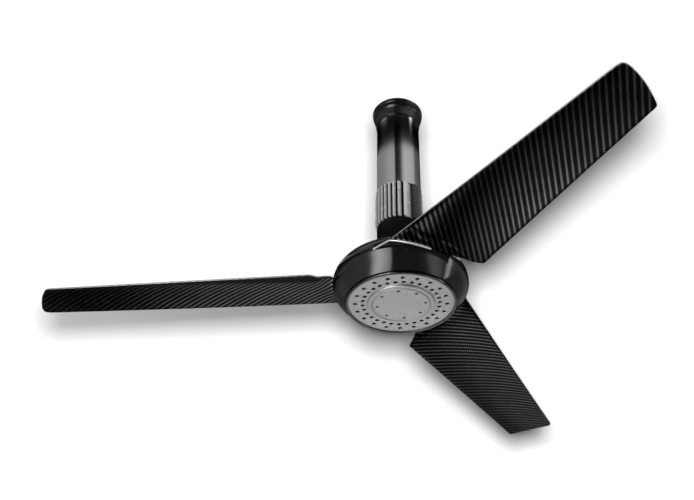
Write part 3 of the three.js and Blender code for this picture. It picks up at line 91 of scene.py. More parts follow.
# Studio. A white backdrop behind the fan catches its soft shadow, a pale floor lies far below,
# and both can be seen through from behind, so that no view is blocked. One lamp is linked to the
# fan and one to the backdrop.
class Wire:
    """A socket of a material's nodes: sums, products, powers and comparisons add Math nodes."""

    def __init__(self, tree, socket=None):
        self.tree = tree
        self.socket = socket

    def node(self, kind, settings=None, inputs=None, output=0):
        """Adds a node: its settings or a ramp's stops first, then its sockets' values or links."""
        made = self.tree.nodes.new(kind)
        for name, value in (settings or {}).items():
            if name == "stops":
                stops = made.color_ramp.elements
                while len(stops) < len(value):
                    stops.new(1.0)
                for stop, (place, colour) in zip(stops, value):
                    stop.position = place
                    stop.color = (*colour, 1.0)
            else:
                setattr(made, name, value)
        for name, value in (inputs or {}).items():
            if isinstance(value, Wire):
                self.tree.links.new(value.socket, made.inputs[name])
            else:
                made.inputs[name].default_value = value
        return Wire(self.tree, made.outputs[output] if made.outputs else None)

    def maths(self, operation, first, second=0.0):
        return self.node("ShaderNodeMath", {"operation": operation}, {0: first, 1: second})

    def __add__(self, other):
        return self.maths("ADD", self, other)

    def __sub__(self, other):
        return self.maths("SUBTRACT", self, other)

    def __rsub__(self, other):
        return self.maths("SUBTRACT", other, self)

    def __mul__(self, other):
        return self.maths("MULTIPLY", self, other)

    def __truediv__(self, other):
        return self.maths("DIVIDE", self, other)

    def __rtruediv__(self, other):
        return self.maths("DIVIDE", other, self)

    def __pow__(self, other):
        return self.maths("POWER", self, other)

    def __gt__(self, other):
        return self.maths("GREATER_THAN", self, other)

    def __lt__(self, other):
        return self.maths("LESS_THAN", self, other)

    __radd__ = __add__
    __rmul__ = __mul__

    def place(self):
        """Place on the piece in its own coordinates."""
        return self.node("ShaderNodeTexCoord", output="Object")

    def axes(self):
        """The three coordinates of a place."""
        return [self.node("ShaderNodeSeparateXYZ", {}, {0: self}, output=axis) for axis in range(3)]

    def step(self, low, high):
        """0 below low, 1 above high, and 3t^2 - 2t^3 between."""
        ends = {0: self, 1: low, 2: high}
        return self.node("ShaderNodeMapRange", {"interpolation_type": "SMOOTHSTEP"}, ends)

    def bump(self, strength, distance):
        """Normal tilted by the slope of this height."""
        inputs = {"Height": self, "Strength": strength, "Distance": distance}
        return self.node("ShaderNodeBump", {}, inputs)

    def blend(self, first, second):
        """Colour between two, by this share."""
        ends = [colour if isinstance(colour, Wire) else (*colour, 1.0) for colour in (first, second)]
        inputs = {0: self, 6: ends[0], 7: ends[1]}
        return self.node("ShaderNodeMix", {"data_type": "RGBA"}, inputs, output=2)


def node_tree(name):
    """A new material and a wire into its empty node tree."""
    material = bpy.data.materials.new(name)
    material.use_nodes = True
    material.node_tree.nodes.clear()
    return material, Wire(material.node_tree)


def seen_rays(wires):
    """1 for rays from the camera, from mirrors and through glass."""
    kinds = ("Camera", "Glossy", "Transmission")
    rays = [wires.node("ShaderNodeLightPath", output=f"Is {kind} Ray") for kind in kinds]
    return rays[0] + rays[1] + rays[2]


def studio_sheet(name, centre, across, up, colour_of, glow):
    """A flat sheet on two half-sides, see-through from behind: its light is its own colour's
    diffuse light plus a glow that camera, mirror and glass rays see."""
    corners = [centre - across - up, centre + across - up, centre + across + up, centre - across + up]
    mesh = bpy.data.meshes.new(name)
    mesh.from_pydata([tuple(corner) for corner in corners], [], [(0, 1, 2, 3)])
    sheet = bpy.data.objects.new(name, mesh)
    scene.collection.objects.link(sheet)
    material, wires = node_tree(name)
    shade = colour_of(wires).blend((0.0, 0.0, 0.0), (1.0, 1.0, 1.0))
    matt = wires.node("ShaderNodeBsdfDiffuse", {}, {"Color": shade})
    light = wires.node("ShaderNodeEmission", {}, {"Strength": glow * seen_rays(wires)})
    front = wires.node("ShaderNodeAddShader", {}, {0: matt, 1: light})
    back = wires.node("ShaderNodeBsdfTransparent")
    behind = wires.node("ShaderNodeNewGeometry", output="Backfacing")
    both = wires.node("ShaderNodeMixShader", {}, {0: behind, 1: front, 2: back})
    wires.node("ShaderNodeOutputMaterial", {}, {"Surface": both})
    mesh.materials.append(material)
    return sheet


BACKDROP_BEHIND = 3.3
BACKDROP_HALF = 6.0
BACKDROP_COLOUR = 0.2
KEY_ABOVE_EYE = 0.049
FLOOR_DROP = 1.95
FLOOR_HALF = 9.0
FLOOR_COLOUR = 0.8
FLOOR_GLOW = 0.35
WORLD_SOFT = 0.45
KEY_SIZE = 0.115
KEY_WATTS = 16.0
BACKDROP_WATTS = 1230.0
BACKDROP_LAMP_SIZE = 0.098

key_place = eye + KEY_ABOVE_EYE * above
lamp_reach = EYE_BACK + BACKDROP_BEHIND


def even_grey(wires):
    """The backdrop's grey, which rises with the fourth power of the way from the lamp, because the
    lamp's own light falls with it; so the whole backdrop comes out equally white."""
    ends = {0: wires.place(), 1: key_place}
    way = wires.node("ShaderNodeVectorMath", {"operation": "DISTANCE"}, ends, output="Value")
    return BACKDROP_COLOUR * (way / lamp_reach) ** 4.0


def plain_grey(wires):
    """The floor's grey, a little worn in wide soft clouds."""
    clouds = wires.node("ShaderNodeTexNoise", {}, {"Vector": wires.place(), "Scale": 0.5})
    return FLOOR_COLOUR - 0.01 * clouds


backdrop = studio_sheet("backdrop", disc_centre + BACKDROP_BEHIND * forward, BACKDROP_HALF * right,
                        BACKDROP_HALF * above, even_grey, 0.0)
ground = studio_sheet("floor", np.array([0.0, 0.0, -FLOOR_DROP]), np.array([FLOOR_HALF, 0.0, 0.0]),
                      np.array([0.0, FLOOR_HALF, 0.0]), plain_grey, FLOOR_GLOW)

world = bpy.data.worlds.new("studio")
world.use_nodes = True
world.node_tree.nodes.clear()
wires = Wire(world.node_tree)
strength = WORLD_SOFT + (1.0 - WORLD_SOFT) * seen_rays(wires)
sky = wires.node("ShaderNodeBackground", {}, {"Strength": strength})
wires.node("ShaderNodeOutputWorld", {}, {"Surface": sky})
scene.world = world


def unit(vectors):
    """The same directions, each of length 1."""
    return vectors / np.linalg.norm(vectors, axis=-1, keepdims=True)


def lamp(name, place, target, size, watts, sheets, state):
    """A square soft lamp that faces a target and stays out of mirrors; it lights only the sheets
    that are given, or all but them."""
    light = bpy.data.lights.new(name, "AREA")
    light.size = size
    light.energy = watts
    made = bpy.data.objects.new(name, light)
    back = unit(place - target)
    side = unit(np.cross([0.0, 0.0, 1.0], back))
    made.matrix_world = placed(side, np.cross(back, side), back, place)
    made.visible_camera = False
    made.visible_glossy = False
    scene.collection.objects.link(made)
    receivers = bpy.data.collections.new(name + "_receivers")
    made.light_linking.receiver_collection = receivers
    for sheet in sheets:
        receivers.objects.link(sheet)
    for linked in receivers.collection_objects:
        linked.light_linking.link_state = state


lamp("key_lamp", key_place, disc_centre, KEY_SIZE, KEY_WATTS, [backdrop, ground], "EXCLUDE")
lamp("backdrop_lamp", key_place, key_place + forward, BACKDROP_LAMP_SIZE, BACKDROP_WATTS,
     [backdrop], "INCLUDE")


# Black tent. Gloss black mirrors what stands round it, so the fan hangs in a dark round tent with
# soft boxes on its wall. Only mirrors see it. Low down behind it is open; there a rug goes on to a
# low screen. Every table of lights gives levels of light by degrees of turn, or by metres.
TENT_RADIUS = 1.2
TENT_TOP = 1.25
TENT_LOW = -1.9
TENT_LOW_BEHIND = -0.5
TENT_FRONT = 100.0
CANOPY_BOXES = [(-110, 0.05), (-84, 0.7), (-66, 0.7), (-54, 0.05), (68, 0.05), (75, 4.0), (85, 4.0),
                (92, 0.1)]
TUBE_BOXES = [(-180, 0.10), (-145, 0.25), (-124, 0.42), (-79, 0.60), (-42, 0.86), (-19, 0.86),
              (-12, 0.04), (3, 0.06), (14, 0.2), (27, 0.96), (40, 1.2), (66, 1.1), (78, 0.98),
              (89, 0.9), (96, 0.45), (106, 0.25), (125, 0.18), (155, 0.08)]
FIN_BOXES = [(-180, 0.7), (-92, 0.9), (-50, 0.75), (-24, 0.6), (0, 0.8), (30, 0.9), (60, 1.0),
             (90, 1.7), (130, 1.7), (155, 0.7)]
BOWL_BOXES = [(-125, 0.12), (-90, 0.35), (-50, 0.5), (-43, 1.0), (-36, 5.2), (-30, 7.4), (-25, 7.2),
              (-18, 5.6), (-13, 3.9), (-9.9, 2.6), (-9.0, 0.03), (30, 0.06), (41, 0.3), (47, 1.1),
              (57, 1.3), (66, 1.0), (74, 0.3), (77, 0.5), (80.5, 4.2), (85.5, 4.2), (89, 0.6),
              (100, 0.3)]
TENT_ROWS = [(CANOPY_BOXES, 1.08, 0.02, 1.26, 0.01), (TUBE_BOXES, 0.725, 0.01, 0.965, 0.035),
             (FIN_BOXES, 0.64, 0.015, 0.735, 0.01), (BOWL_BOXES, -2.0, 0.01, 0.02, 0.1)]
SPREAD_FROM = -0.5
SPREAD = 0.68
SPREAD_INWARD = 0.9
RUG_HALF = 40.0
RUG_BELOW = 0.005
RUG_NEAR_BEARINGS = [(-180, 0.3), (-60, 0.4), (-26, 2.2), (-20, 1.5), (-16, 1.1), (-10, 0.78),
                     (-3.5, 0.5), (6, 0.36), (12, 0.22), (24, 0.12), (60, 0.2), (180, 0.3)]
RUG_NEAR_REACH = [(0.0, 0.6), (0.6, 0.8), (0.85, 0.7), (0.95, 0.53), (1.065, 0.4), (1.2, 0.19),
                  (1.32, 0.06), (1.4, 0.0), (4.0, 0.0)]
RUG_FAR_START = (1.57, 1.74)
RUG_FAR_BEARINGS = [(-180, 0.3), (-60, 0.35), (-38, 0.1), (-30, 0.05), (-24, 0.25), (-16, 0.6),
                    (-11, 0.95), (-8, 1.5), (0, 1.65), (4, 1.4), (8, 0.7), (11, 0.52), (16, 0.52),
                    (19, 0.42), (20.5, 0.3), (22, 0.2), (60, 0.2), (180, 0.3)]
SCREEN_RADIUS = 2.9
SCREEN_HALF = 110.0
SCREEN_TOP = -0.4
SCREEN_EDGE = 0.02
SCREEN_BEARINGS = [(-180, 0.3), (-60, 0.35), (-38, 0.1), (-32, 0.03), (-28, 0.07), (-24, 0.25),
                   (-20.2, 0.5), (-16.3, 0.66), (-12.5, 0.72), (0, 0.8), (12, 0.5), (25, 0.25),
                   (60, 0.2), (180, 0.3)]


def tent_surface():
    """Wall on turn and height, roof and front half of the rug on turn and radius, the wide rug
    just below it, and a low round screen far behind."""
    turn = np.radians(np.linspace(-180.0, 180.0, 121))
    front = np.abs(np.degrees(turn)) < TENT_FRONT
    x, y = TENT_RADIUS * np.sin(turn), -TENT_RADIUS * np.cos(turn)
    low = np.where(front, TENT_LOW, TENT_LOW_BEHIND)
    wall = np.stack([np.stack([x, y, low], axis=1), np.stack([x, y, TENT_TOP + 0 * x], axis=1)])
    roof = np.stack([wall[1], wall[1] * [0.0, 0.0, 1.0]])
    rug = np.stack([wall[0][front], wall[0][front] * [0.0, 0.0, 1.0]])
    edge = np.array([-RUG_HALF, 0.0, RUG_HALF])
    far = np.stack([*np.meshgrid(edge, edge), TENT_LOW - RUG_BELOW + np.zeros((3, 3))], axis=-1)
    bearing = np.radians(np.linspace(-SCREEN_HALF, SCREEN_HALF, 89))
    x, y = SCREEN_RADIUS * np.sin(bearing), SCREEN_RADIUS * np.cos(bearing)
    ends = [np.stack([x, y, height + 0 * x], axis=1) for height in (TENT_LOW, SCREEN_TOP)]
    return wall, roof, rug, far, np.stack(ends)


def levels(share, stops):
    """Light level on a ramp of (place, level) stops."""
    top = max(level for _, level in stops)
    stops = [(place, (level / top,) * 3) for place, level in stops]
    return share.node("ShaderNodeValToRGB", {"stops": stops}, {0: share}) * top


def by_turn(turns, stops):
    """Light level by a turn of -0.5 to 0.5, from stops in degrees."""
    return levels(turns + 0.5, [((degrees + 180.0) / 360.0, level) for degrees, level in stops])


def tent_nodes(wires):
    """Light of the tent by turn from the camera's side and by height. Each row of boxes fades in
    and out in height. The lowest row spreads towards its foot, as 1 + 0.68 of the squared drop, and
    inward on the rug, so that the bowl shows its boxes straight."""
    x, y, z = wires.place().axes()
    turn = wires.maths("ARCTAN2", x, 0.0 - y) / (2 * np.pi)
    drop = wires.maths("MAXIMUM", SPREAD_FROM - z, 0.0) / (SPREAD_FROM - TENT_LOW)
    widen = (1.0 + SPREAD * drop * drop) * (TENT_RADIUS / (x * x + y * y) ** 0.5) ** SPREAD_INWARD
    light = 0.0
    for boxes, low, low_soft, high, high_soft in TENT_ROWS:
        place = turn / widen if boxes is BOWL_BOXES else turn
        shown = z.step(low, low + low_soft) * (1.0 - z.step(high - high_soft, high))
        light = light + by_turn(place, boxes) * shown
    return wires.node("ShaderNodeEmission", {}, {"Strength": light})


def rug_nodes(wires):
    """Light of the rug and the screen behind by the bearing from straight behind and by the way
    from the fan's axis: a soft pool near the fan, a paler stretch that the disc mirrors, and the
    screen at the end of it."""
    x, y, _ = wires.place().axes()
    bearing = wires.maths("ARCTAN2", x, y) / (2 * np.pi)
    away = (x * x + y * y) ** 0.5
    reach = RUG_NEAR_REACH[-1][0]
    near = by_turn(bearing, RUG_NEAR_BEARINGS)
    near = near * levels(away / reach, [(metres / reach, level) for metres, level in RUG_NEAR_REACH])
    far = by_turn(bearing, RUG_FAR_BEARINGS) * away.step(*RUG_FAR_START)
    beyond = away > SCREEN_RADIUS - SCREEN_EDGE
    light = near + far + beyond * (by_turn(bearing, SCREEN_BEARINGS) - far)
    return wires.node("ShaderNodeEmission", {}, {"Strength": light})


def grid_faces(rows, columns, wrap_rows, wrap_columns):
    """Faces of a grid: each point with its neighbour in the row and the two in the next row."""
    i = np.arange(rows if wrap_rows else rows - 1)[:, None]
    j = np.arange(columns if wrap_columns else columns - 1)[None, :]
    below, beside = (i + 1) % rows, (j + 1) % columns
    faces = [i * columns + j, i * columns + beside, below * columns + beside, below * columns + j]
    return np.stack(faces, axis=-1).reshape(-1, 4)


tent_looks = [tent_nodes, tent_nodes, tent_nodes, rug_nodes, rug_nodes]
for number, (sheet, look) in enumerate(zip(tent_surface(), tent_looks)):
    mesh = bpy.data.meshes.new(f"tent_{number}")
    faces = grid_faces(*sheet.shape[:2], False, False)
    mesh.from_pydata(sheet.reshape(-1, 3).tolist(), [], faces.tolist())
    tent = bpy.data.objects.new(f"tent_{number}", mesh)
    scene.collection.objects.link(tent)
    material, wires = node_tree(f"tent_{number}")
    wires.node("ShaderNodeOutputMaterial", {}, {"Surface": look(wires)})
    mesh.materials.append(material)
    for rays in ("camera", "diffuse", "shadow", "transmission"):
        setattr(tent, f"visible_{rays}", False)


# Canopy. A spun steel cap, painted gloss black, with a rolled lip against the ceiling and a cup
# that slides over the tube; two small screws hold it.
MM = 0.001
CEILING_RISE = 486.0
CANOPY_LIP = 52.9
CANOPY_CUP = 46.0
TUBE_RADIUS = 44.1
FINE_TURNS = 144
WELD_WITHIN = 2e-6


def rounded(corners, steps=6, hold=0.0):
    """Closed outline through [x, y, fillet] corners. A fillet leaves its corner by its own length
    on both sides and bends between them as (1-t)^2 a + 2t(1-t) c + t^2 b. A further point at hold
    beyond each end keeps the shading of long straight sides flat."""
    corners = np.array(corners, float)
    at, size = corners[:, :2], corners[:, 2:]
    before, after = [unit(np.roll(at, places, axis=0) - at) for places in (1, -1)]
    t = np.linspace(0.0, 1.0, steps + 1)[:, None, None]
    curve = (1 - t) ** 2 * (at + before * size) + 2 * t * (1 - t) * at + t ** 2 * (at + after * size)
    if hold:
        curve = np.concatenate([[at + before * (size + hold)], curve, [at + after * (size + hold)]])
    parts = [curve[:, i] if size[i] > 0 else at[i:i + 1] for i in range(len(at))]
    return np.concatenate(parts)


def around(radius, angle, height):
    """Points at a radius and an angle about the vertical axis, and at a height."""
    points = np.broadcast_arrays(radius * np.cos(angle), radius * np.sin(angle), height)
    return np.stack(points, axis=-1)


def spin(outline, turns=FINE_TURNS, closed=True):
    """Surface of revolution: each [radius, height] point goes round the axis in equal turns."""
    outline = np.array(outline, float)
    angle = np.linspace(0.0, 2 * np.pi, turns, endpoint=False)
    return around(outline[:, :1], angle, outline[:, 1:2]), closed, True


def mesh_of(name, shells):
    """Mesh in metres from shells in millimetres above the lowest face: each is a grid of points
    with its two wraps, or a list of points with its faces. Doubles merge and faces turn outward."""
    points, faces = [], []
    count = 0
    for shell in shells:
        if len(shell) == 3:
            grid, wrap_rows, wrap_columns = shell
            added = grid_faces(grid.shape[0], grid.shape[1], wrap_rows, wrap_columns)
            grid = grid.reshape(-1, 3)
        else:
            grid, added = shell
        points.append(grid)
        faces += (np.asarray(added) + count).tolist()
        count += len(grid)
    points = (np.concatenate(points) - [0.0, 0.0, CEILING_RISE]) * MM
    mesh = bpy.data.meshes.new(name)
    mesh.from_pydata(points.tolist(), [], faces)
    work = bmesh.new()
    work.from_mesh(mesh)
    bmesh.ops.remove_doubles(work, verts=work.verts, dist=WELD_WITHIN)
    bmesh.ops.recalc_face_normals(work, faces=work.faces)
    work.to_mesh(mesh)
    work.free()
    return mesh


def add_piece(name, shells, material, body, nodes, smooth=40.0):
    """A finished piece: mesh, soft shading up to an angle, finish, body and the CAD nodes it replaces, which
    are hidden.
    """
    mesh = mesh_of(name, shells)
    mesh.shade_smooth()
    mesh.set_sharp_from_angle(angle=np.radians(smooth))
    mesh.materials.append(material)
    made = bpy.data.objects.new(name, mesh)
    scene.collection.objects.link(made)
    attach(made, body)
    if nodes:
        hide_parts(*nodes)
    return made


def noise(wires, scale, detail=3.0, stretch=(1.0, 1.0, 1.0)):
    """Noise between 0 and 1 over the piece, in cycles per metre, stretched along the axes."""
    mapped = wires.node("ShaderNodeMapping", {}, {"Vector": wires.place(), "Scale": stretch})
    return wires.node("ShaderNodeTexNoise", {}, {"Vector": mapped, "Scale": scale, "Detail": detail})


def finish(name, fixed, varied):
    """A material: a Principled shader with fixed sockets, and links for what varies over it."""
    material, wires = node_tree(name)
    shader = wires.node("ShaderNodeBsdfPrincipled", {}, {**fixed, **varied(wires)})
    wires.node("ShaderNodeOutputMaterial", {}, {"Surface": shader})
    return material


def gloss_black_nodes(wires):
    """Black paint: a faint dust film, hand marks in the gloss and the ripple of sprayed paint."""
    film = noise(wires, 22.0, 5.0)
    return {
        "Base Color": film.blend((0.003, 0.003, 0.0033), (0.008, 0.008, 0.0083)),
        "Roughness": 0.06 + 0.12 * film ** 2.0,
        "Normal": noise(wires, 420.0, 2.0).bump(0.02, 0.0006),
    }


gloss_black = finish("gloss_black", {"IOR": 1.5}, gloss_black_nodes)

canopy_outline = rounded([
    [TUBE_RADIUS + 0.3, -40.3, 0.3],
    [CANOPY_CUP, -40.3, 0.9],
    [CANOPY_CUP + 1.2, -21.4, 0.8],
    [CANOPY_LIP - 2.4, -18.2, 2.2],
    [CANOPY_LIP - 1.0, -12.4, 1.2],
    [CANOPY_LIP - 2.4, -10.8, 0.5],
    [CANOPY_LIP - 2.4, -9.2, 0.5],
    [CANOPY_LIP, -8.4, 1.6],
    [CANOPY_LIP, -0.5, 2.6],
    [CANOPY_LIP - 3.6, -0.5, 0.4],
    [CANOPY_LIP - 3.6, -15.0, 1.2],
    [TUBE_RADIUS + 0.3, -17.4, 0.6],
], 6, 0.1) + [0.0, CEILING_RISE]


def satin_black_nodes(wires):
    """The same paint, rubbed duller where hands push the cap up the tube."""
    return {**gloss_black_nodes(wires), "Roughness": 0.14 + 0.14 * noise(wires, 14.0, 4.0)}


satin_black = finish("satin_black", {"IOR": 1.42}, satin_black_nodes)
add_piece("canopy_cap", [spin(canopy_outline)], satin_black, "mount", ["canopy"])


# Stem tube. A steel tube, plated in black chrome, that hides the rod: smooth and mirror bright,
# with faint marks along its length. Its top slides in the canopy, its foot stands on the fins.
TUBE_WALL = 1.2
TUBE_FOOT = 259.2
TUBE_TOP = 463.7


def black_chrome_nodes(wires):
    """Dark plated metal: nearly even, with wiping marks in the gloss."""
    wipes = noise(wires, 9.0, 4.0, (1.0, 1.0, 0.35))
    return {
        "Base Color": wipes.blend((0.30, 0.301, 0.305), (0.36, 0.361, 0.365)),
        "Roughness": 0.05 + 0.05 * wipes,
        "Normal": noise(wires, 260.0, 2.0).bump(0.015, 0.0004),
    }


black_chrome = finish("black_chrome", {"Metallic": 1.0}, black_chrome_nodes)
tube_outline = rounded([
    [TUBE_RADIUS - TUBE_WALL, TUBE_FOOT, 0.3],
    [TUBE_RADIUS, TUBE_FOOT, 0.4],
    [TUBE_RADIUS, TUBE_TOP, 0.4],
    [TUBE_RADIUS - TUBE_WALL, TUBE_TOP, 0.3],
], 3, 0.25)
add_piece("stem_tube", [spin(tube_outline, 192)], black_chrome, "mount", ["tube_cover"])


# Heat sink. A bar of extruded aluminium with straight parallel fins clipped to a circle and two
# smooth flanks, sawn square at both ends, painted black and then turned and milled bright at the
# fins' tips and outer faces; the black on the fin walls deep in the slots is painted shade, and
# the bright band in from the tips is partly bright metal and partly painted light. A turned collar
# on top centres the tube.
SINK_RADIUS = 47.2
SINK_CORE = 33.0
SINK_FOOT = 174.0
SINK_TOP = 258.9
FIN_PITCH = 9.0
FIN_HALF = 1.45
FINS_EACH_SIDE = 4
FIN_AZIMUTH = np.radians(57.0)
FLANK_HALF = 13.8
# Depth of the bright band in from the fins' tips: partly bright metal and partly painted light.
BRIGHT_AND_LIT_DEPTH = 4.6
ROD_CLEAR = 11.3
COLLAR_RADIUS = 42.6
COLLAR_TOP = 266.9


def sink_outline():
    """Right half from the lower flank's corner to the upper one: for each slot its two fin walls
    and its floor at the larger of the flank's half-width and the core's circle, for each fin an
    arc on the outer circle; then the same turned half round."""
    floor_from = -np.sqrt(SINK_RADIUS ** 2 - FLANK_HALF ** 2)
    half = [[[FLANK_HALF, floor_from]]]
    for k in range(-FINS_EACH_SIDE, FINS_EACH_SIDE + 1):
        low, high = k * FIN_PITCH - FIN_HALF, k * FIN_PITCH + FIN_HALF
        y = np.linspace(floor_from, low, 7)
        x = np.maximum(FLANK_HALF, np.sqrt(np.maximum(SINK_CORE ** 2 - y ** 2, 0.0)))
        half.append(np.stack([x, y], axis=1)[0 if k > -FINS_EACH_SIDE else 1:])
        y = np.linspace(low, high, 5)
        half.append(np.stack([np.sqrt(SINK_RADIUS ** 2 - y ** 2), y], axis=1))
        floor_from = high
    y = np.array([floor_from, -half[0][0][1]])
    half.append(np.stack([FLANK_HALF + 0 * y, y], axis=1))
    half = np.concatenate([np.array(part, float) for part in half])
    corner = np.arctan2(half[-1][1], half[-1][0])
    arc = np.linspace(corner, np.pi - corner, 14)
    top = around(SINK_RADIUS, arc, 0.0)[1:-1, :2]
    return np.concatenate([half, top, -half, -top])


def turned_by(angle, points):
    """Points turned about the vertical axis by an angle."""
    c, s = np.cos(angle), np.sin(angle)
    x, y = points[..., 0], points[..., 1]
    return np.concatenate([np.stack([c * x - s * y, s * x + c * y], axis=-1), points[..., 2:]], axis=-1)


def prism(outline, hole, low, high):
    """Closed solid between two heights from an outline and a hole in it: walls as grids, ends as
    triangles that fill the space between the two lines."""
    shells = []
    for line in (outline, hole):
        walls = np.stack([np.concatenate([line, z + 0 * line[:, :1]], axis=1) for z in (low, high)])
        shells.append((walls, False, True))
    lines = [[(x, y, 0.0) for x, y in line] for line in (outline, hole)]
    faces = [tuple(face) for face in tessellate_polygon(lines)]
    both = np.concatenate([outline, hole])
    for z in (low, high):
        shells.append((np.concatenate([both, z + 0 * both[:, :1]], axis=1), faces))
    return shells


def fin_metal_nodes(wires):
    """Black painted aluminium, turned bright at the fins' tips and milled bright on the two outer
    fin faces, with drawing lines up the fins. The black on the fin walls deep in the slots is painted
    shade; the bright band in from the tips and the outer faces are partly bright metal and partly
    painted light. Turned coordinates tell the fins and flanks apart."""
    x, y, _ = wires.place().axes()
    c, s = float(np.cos(FIN_AZIMUTH)), float(np.sin(FIN_AZIMUTH))
    along = wires.maths("ABSOLUTE", c * x + s * y)
    beside = wires.maths("ABSOLUTE", c * y - s * x)
    radius = (x * x + y * y) ** 0.5
    outermost = FINS_EACH_SIDE * FIN_PITCH + FIN_HALF
    fins = (along > (FLANK_HALF + 0.2) * MM) * (beside < (outermost + 0.1) * MM)
    # Bright from this depth inside the outer circle and on the two outer faces: partly the turned metal and
    # partly painted light; deeper in the slots the walls stay black as painted shade.
    tips = radius > (SINK_RADIUS - BRIGHT_AND_LIT_DEPTH) * MM
    outer = beside > (outermost - 0.4) * MM
    fins = fins * wires.maths("MAXIMUM", tips, outer)
    lines = noise(wires, 900.0, 3.0, (1.0, 1.0, 0.012))
    cloud = noise(wires, 35.0, 4.0)
    bright = (lines * 0.5 + cloud * 0.5).blend((0.62, 0.622, 0.63), (0.84, 0.842, 0.85))
    return {
        "Base Color": fins.blend((0.006, 0.006, 0.0065), bright),
        "Metallic": 0.35 * fins,
        "Roughness": 0.2 + 0.12 * cloud,
        "Normal": lines.bump(0.05, 0.0002),
    }


fin_metal = finish("fin_metal", {}, fin_metal_nodes)
bore_angle = np.linspace(0.0, 2 * np.pi, 64, endpoint=False)
bore = around(ROD_CLEAR, bore_angle, 0.0)[:, :2]
sink_shells = [(turned_by(FIN_AZIMUTH, shell[0]), *shell[1:])
               for shell in prism(sink_outline(), bore, SINK_FOOT, SINK_TOP)]
sink = add_piece("fin_block", sink_shells, fin_metal, "mount", ["heat_sink"], smooth=28.0)
edges = sink.modifiers.new("broken_edges", "BEVEL")
edges.width = 0.35 * MM
edges.segments = 2
edges.limit_method = "ANGLE"
edges.angle_limit = np.radians(50.0)
edges.use_clamp_overlap = True
edges.harden_normals = True
collar_outline = rounded([
    [ROD_CLEAR + 1.0, SINK_TOP + 0.05, 0.2],
    [COLLAR_RADIUS, SINK_TOP + 0.05, 0.2],
    [COLLAR_RADIUS, COLLAR_TOP, 0.8],
    [ROD_CLEAR + 1.0, COLLAR_TOP, 0.2],
], 3)
add_piece("tube_collar", [spin(collar_outline, 96)], fin_metal, "mount", [])


# Neck cover. A drawn steel sleeve under the heat sink, painted gloss black, with soft edges.
NECK_RADIUS = 44.6
NECK_FOOT = 90.5
neck_outline = rounded([
    [NECK_RADIUS - 1.8, NECK_FOOT, 0.4],
    [NECK_RADIUS, NECK_FOOT, 1.3],
    [NECK_RADIUS, SINK_FOOT - 0.3, 1.5],
    [ROD_CLEAR, SINK_FOOT - 0.3, 0.4],
    [ROD_CLEAR, SINK_FOOT - 3.0, 0.4],
    [NECK_RADIUS - 1.8, SINK_FOOT - 3.0, 0.8],
], 6, 0.3)
add_piece("neck_sleeve", [spin(neck_outline)], gloss_black, "mount", ["neck_cover"])


# Blades. Three moulded carbon blades in gloss lacquer, pitched, twisted and drooping, with a
# crowned face and a rounded rim; each root levels out over the housing's rim and is screwed down.
BLADE_AZIMUTHS = np.radians([65.2, 185.2, 305.2])
BLADE_THICK = 3.0
BLADE_CORNERS = [
    [88.0, 24.0, 0.0],
    [88.0, -60.0, 0.0],
    [99.4, -79.4, 4.0],
    [653.6, -42.3, 16.0],
    [644.75, 4.7, 31.33],
    [620.9, 51.7, 6.0],
    [163.4, 72.0, 4.0],
    [124.0, 26.0, 4.0],
]
BLADE_LEVEL = 42.7
PITCH_FROM = 132.0
PITCH_OVER = 538.0
PITCH_ROOT = 13.9
PITCH_FALL = 6.7
PLANE_RISE = 37.0
PLANE_DROOP = 27.8
HALF_CHORD = (72.0, 25.0)
CROWN = 4.5
ROOT_BEND = (127.5, 160.0)
BEND_SOFT = 6.0
TOW_ALONG = 0.00355
TOW_ACROSS = 0.0034
ARC_STEPS = 8
RIM_ANGLES = np.radians([0.0, 20.0, 42.0, 65.0, 90.0])
ROOT_SHARES = [0.006, 0.014, 0.020, 0.028, 0.045, 0.058, 0.064, 0.070, 0.078, 0.095, 0.118, 0.128,
               0.133, 0.138, 0.143, 0.150]
SPAN_SHARES = np.linspace(0.165, 0.985, 72)
CHORD_SHARES = np.linspace(0.0, 1.0, 27)[1:-1]
RIM_HIGHLIGHT_LEVEL = 2.1
RIM_HIGHLIGHT_FALL = 2.2


def smooth_step(value, low, high):
    """0 below low, 1 above high, and 3t^2 - 2t^3 between."""
    t = np.clip((value - low) / (high - low), 0.0, 1.0)
    return t * t * (3 - 2 * t)


def blade_height(out, across):
    """Height of a blade's middle surface: a plane that droops outward and is pitched by an angle
    that falls along the blade, plus a crown times 1 less the squared share of the half chord;
    nearer than the root bend it turns softly into the level root."""
    along = np.clip((out - PITCH_FROM) / PITCH_OVER, 0.0, 1.0)
    pitch = np.radians(PITCH_ROOT - PITCH_FALL * along)
    plane = PLANE_RISE - PLANE_DROOP * (out - PITCH_FROM) / PITCH_OVER - across * np.tan(pitch)
    free = smooth_step(np.hypot(out, across), *ROOT_BEND)
    chord = np.clip(across / (HALF_CHORD[0] - HALF_CHORD[1] * along), -1.0, 1.0)
    bend = (plane + BLADE_LEVEL + np.hypot(plane - BLADE_LEVEL, BEND_SOFT)) / 2
    return bend + (plane - bend) * free + free * CROWN * (1 - chord ** 2)


def way_along(line):
    """Way along a line from its start to each of its points."""
    return np.concatenate([[0.0], np.cumsum(np.linalg.norm(np.diff(line, axis=0), axis=1))])


